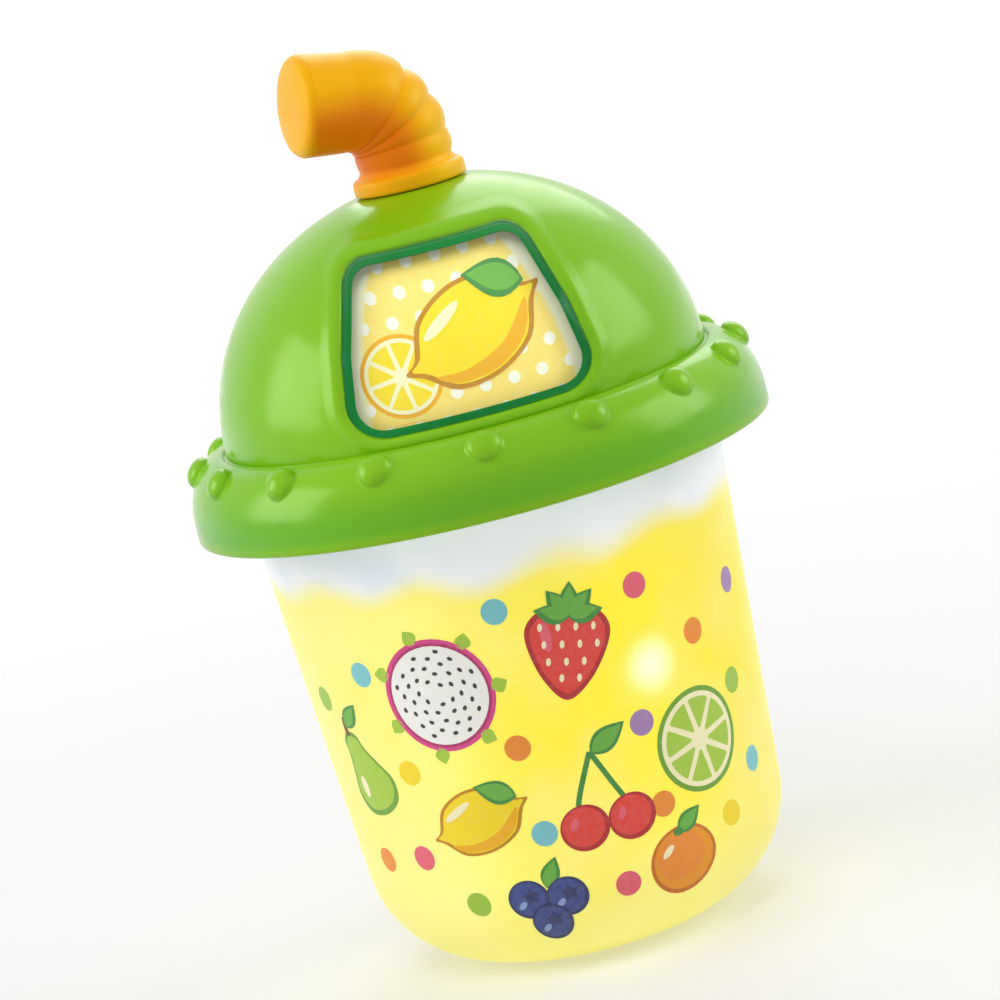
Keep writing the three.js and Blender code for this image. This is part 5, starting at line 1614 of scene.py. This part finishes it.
def switch_knob():
    """The slide knob: a round-edged block with three finger ridges."""
    low = toggle.face - cup.wall - GAP - toggle.knob_behind
    high = toggle.face + toggle.depth + toggle.proud
    size = (2 * toggle.knob_half_width, high - low, 2 * toggle.knob_half_height)
    knob = block("slide_knob", (0, (low + high) / 2, toggle.height), size)
    bevelled(knob, toggle.knob_round)
    ridges = []
    for step in (-1, 0, 1):
        place = (step * toggle.knob_half_width * 2 / 3, high, toggle.height)
        ridges.append(bevelled(block("ridge", place, toggle.ridge), toggle.ridge_round))
    whole = turned(joined(knob, *ridges), toggle.turn)
    settle(whole, pom_white, "power_switch", "knob_white", "switch_knob")


def cell_profile(radius, length):
    """A battery cell's section from its flat end: sleeve, shrunk edges and positive button."""
    soft = 0.6 * MM
    shoulder = length - 1.2 * MM
    return [
        (0.0, 0.0),
        (radius * 0.62, 0.0),
        (radius * 0.66, 0.25 * MM),
        *arc((radius - soft, soft), soft, soft, -QUARTER, 0, 4),
        *arc((radius - soft, shoulder - soft), soft, soft, 0, QUARTER, 4),
        (radius * 0.7, shoulder - 0.2 * MM),
        (radius * 0.5, shoulder),
        (radius * 0.36, shoulder + 0.1 * MM),
        (radius * 0.34, length - 0.2 * MM),
        (radius * 0.28, length),
        (0.0, length),
    ]


def cells():
    """The two battery cells, which lie opposite ways round."""
    for name, side in (("battery_cell_lower", 1), ("battery_cell_upper", -1)):
        low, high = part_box(name)
        piece = spun(f"{name}_sleeved", cell_profile((high.y - low.y) / 2, high.x - low.x), 48)
        turned(piece, side * QUARTER, "Y")
        start = middle_of(name)
        start.x = low.x if side > 0 else high.x
        piece.data.transform(Matrix.Translation(start))
        settle(piece, cell_sleeve, "cup_and_lid", "cell_wrap", name)


# Finishes of the solids, by slot
KEPT = {
    "inner_white": abs_white,
    "knob_white": pom_white,
    "screw_steel": zinc_steel,
    "spring_steel": nickel_steel,
    "contact_copper": bronze,
    "board_green": circuit_green,
    "part_black": nylon_black,
    "lamp_clear": epoxy_lamp,
    "cell_wrap": cell_sleeve,
    "cable_grey": pvc_grey,
    "lid_green": abs_green,
    "cup_milky": lit_cup,
    "straw_orange": abs_orange,
    "printed_picture": drum_print,
    "window_clear": clear_lens,
}


def dress_solids():
    """Gives each solid the finish of its slot."""
    for subpart in frame["record"]["subparts"]:
        solid = frame["nodes"][subpart["node"]]
        solid.data.materials.clear()
        solid.data.materials.append(KEPT[subpart["material_slot"]])


# Stage

WHITE = (1, 1, 1, 1)
AMBIENT = 0.34


def seen(tree):
    """1 for rays from the camera, a reflection or a clear part, and 0 for those that only light."""
    path = add(tree, "LightPath").outputs
    rays = [path["Is Camera Ray"], path["Is Glossy Ray"]]
    direct = add(tree, "Math", rays, operation="MAXIMUM")
    return add(tree, "Math", [direct, path["Is Transmission Ray"]], operation="MAXIMUM")


def studio_floor():
    """Matt white paint on a wide floor that grows brighter away from the toy."""
    floor = begin("studio_floor", "plane", size=60)
    made, tree = started("matt_white_floor")
    worn = patchy(tree, 0.4, 0.0, 0.3)
    tint = add(tree, "Mix", [worn, colour("D2D2D2"), colour("CFCFCF")], **IN_COLOUR)
    place = add(tree, "TexCoord").outputs["Object"]
    away = add(tree, "VectorMath", [place], operation="LENGTH")
    fill = add(tree, "MapRange", [away, 0.15, 1.6, 0.28, 0.85], **SMOOTH)
    fill = add(tree, "Math", [seen(tree), fill], operation="MULTIPLY")
    surfaced(made, tint, Roughness=0.7, Emission_Color=WHITE, Emission_Strength=fill)
    floor.data.materials.append(made)


def surround():
    """A world that is white where it is seen and dimmer as a light."""
    world = bpy.data.worlds.new("studio")
    bpy.context.scene.world = world
    world.use_nodes = True
    tree = world.node_tree
    tree.nodes.clear()
    level = add(tree, "Math", [seen(tree), 1 - AMBIENT], operation="MULTIPLY")
    level = add(tree, "Math", [level, AMBIENT], operation="ADD")
    sky = add(tree, "Background", [WHITE, level])
    add(tree, "OutputWorld", {"Surface": sky})


def lamps():
    """Soft studio lamps, each as bright at the toy as its level says."""
    target = Vector((0, 0, 0.12))
    for name, place, size, level, shown in (
        ("left_softbox", (-0.95, -0.05, 0.5), 0.6, 0.38, True),
        ("right_softbox", (0.95, -0.05, 0.5), 0.6, 0.36, True),
        ("front_fill", (-0.25, -0.7, 1.1), 0.8, 0.3, False),
        ("back_fill", (0.2, 0.9, 0.8), 0.8, 0.28, True),
    ):
        lamp = bpy.data.lights.new(name, "AREA")
        lamp.size = size
        lamp.energy = level * (math.pi * (Vector(place) - target).length) ** 2
        holder = bpy.data.objects.new(name, lamp)
        bpy.context.scene.collection.objects.link(holder)
        holder.visible_glossy = holder.visible_transmission = shown
        holder.location = place
        holder.rotation_euler = (target - Vector(place)).to_track_quat("-Z", "Y").to_euler()


# The photo's camera, fitted to the toy's outlines
view = SimpleNamespace(
    place=(1.624 * MM, -886.808 * MM, 253.642 * MM),
    lens=153.1,
    sensor=36,
    rise=math.radians(10.2),
    roll=math.radians(-14.34),
)


def camera():
    """A long lens in front, a little above, rolled so that the toy's top leans left."""
    data = bpy.data.cameras.new("camera")
    data.sensor_width = view.sensor
    data.lens = view.lens
    data.clip_end = 100
    holder = bpy.data.objects.new("camera", data)
    bpy.context.scene.collection.objects.link(holder)
    back = Vector((0, -math.cos(view.rise), math.sin(view.rise)))
    level = Vector((1, 0, 0))
    up = back.cross(level)
    right = math.cos(view.roll) * level + math.sin(view.roll) * up
    top = -math.sin(view.roll) * level + math.cos(view.roll) * up
    turn = Matrix((right, top, back)).transposed().to_4x4()
    holder.matrix_world = Matrix.Translation(view.place) @ turn
    bpy.context.scene.camera = holder


camera()
dress_solids()
lid()
lens()
lid_ring()
cup_body()
battery_cover()
bent_straw()
picture_drum()
cup_pictures()
drum_pictures()
screws()
switch_knob()
cells()
studio_floor()
surround()
lamps()
bpy.context.scene.view_settings.view_transform = "Standard"
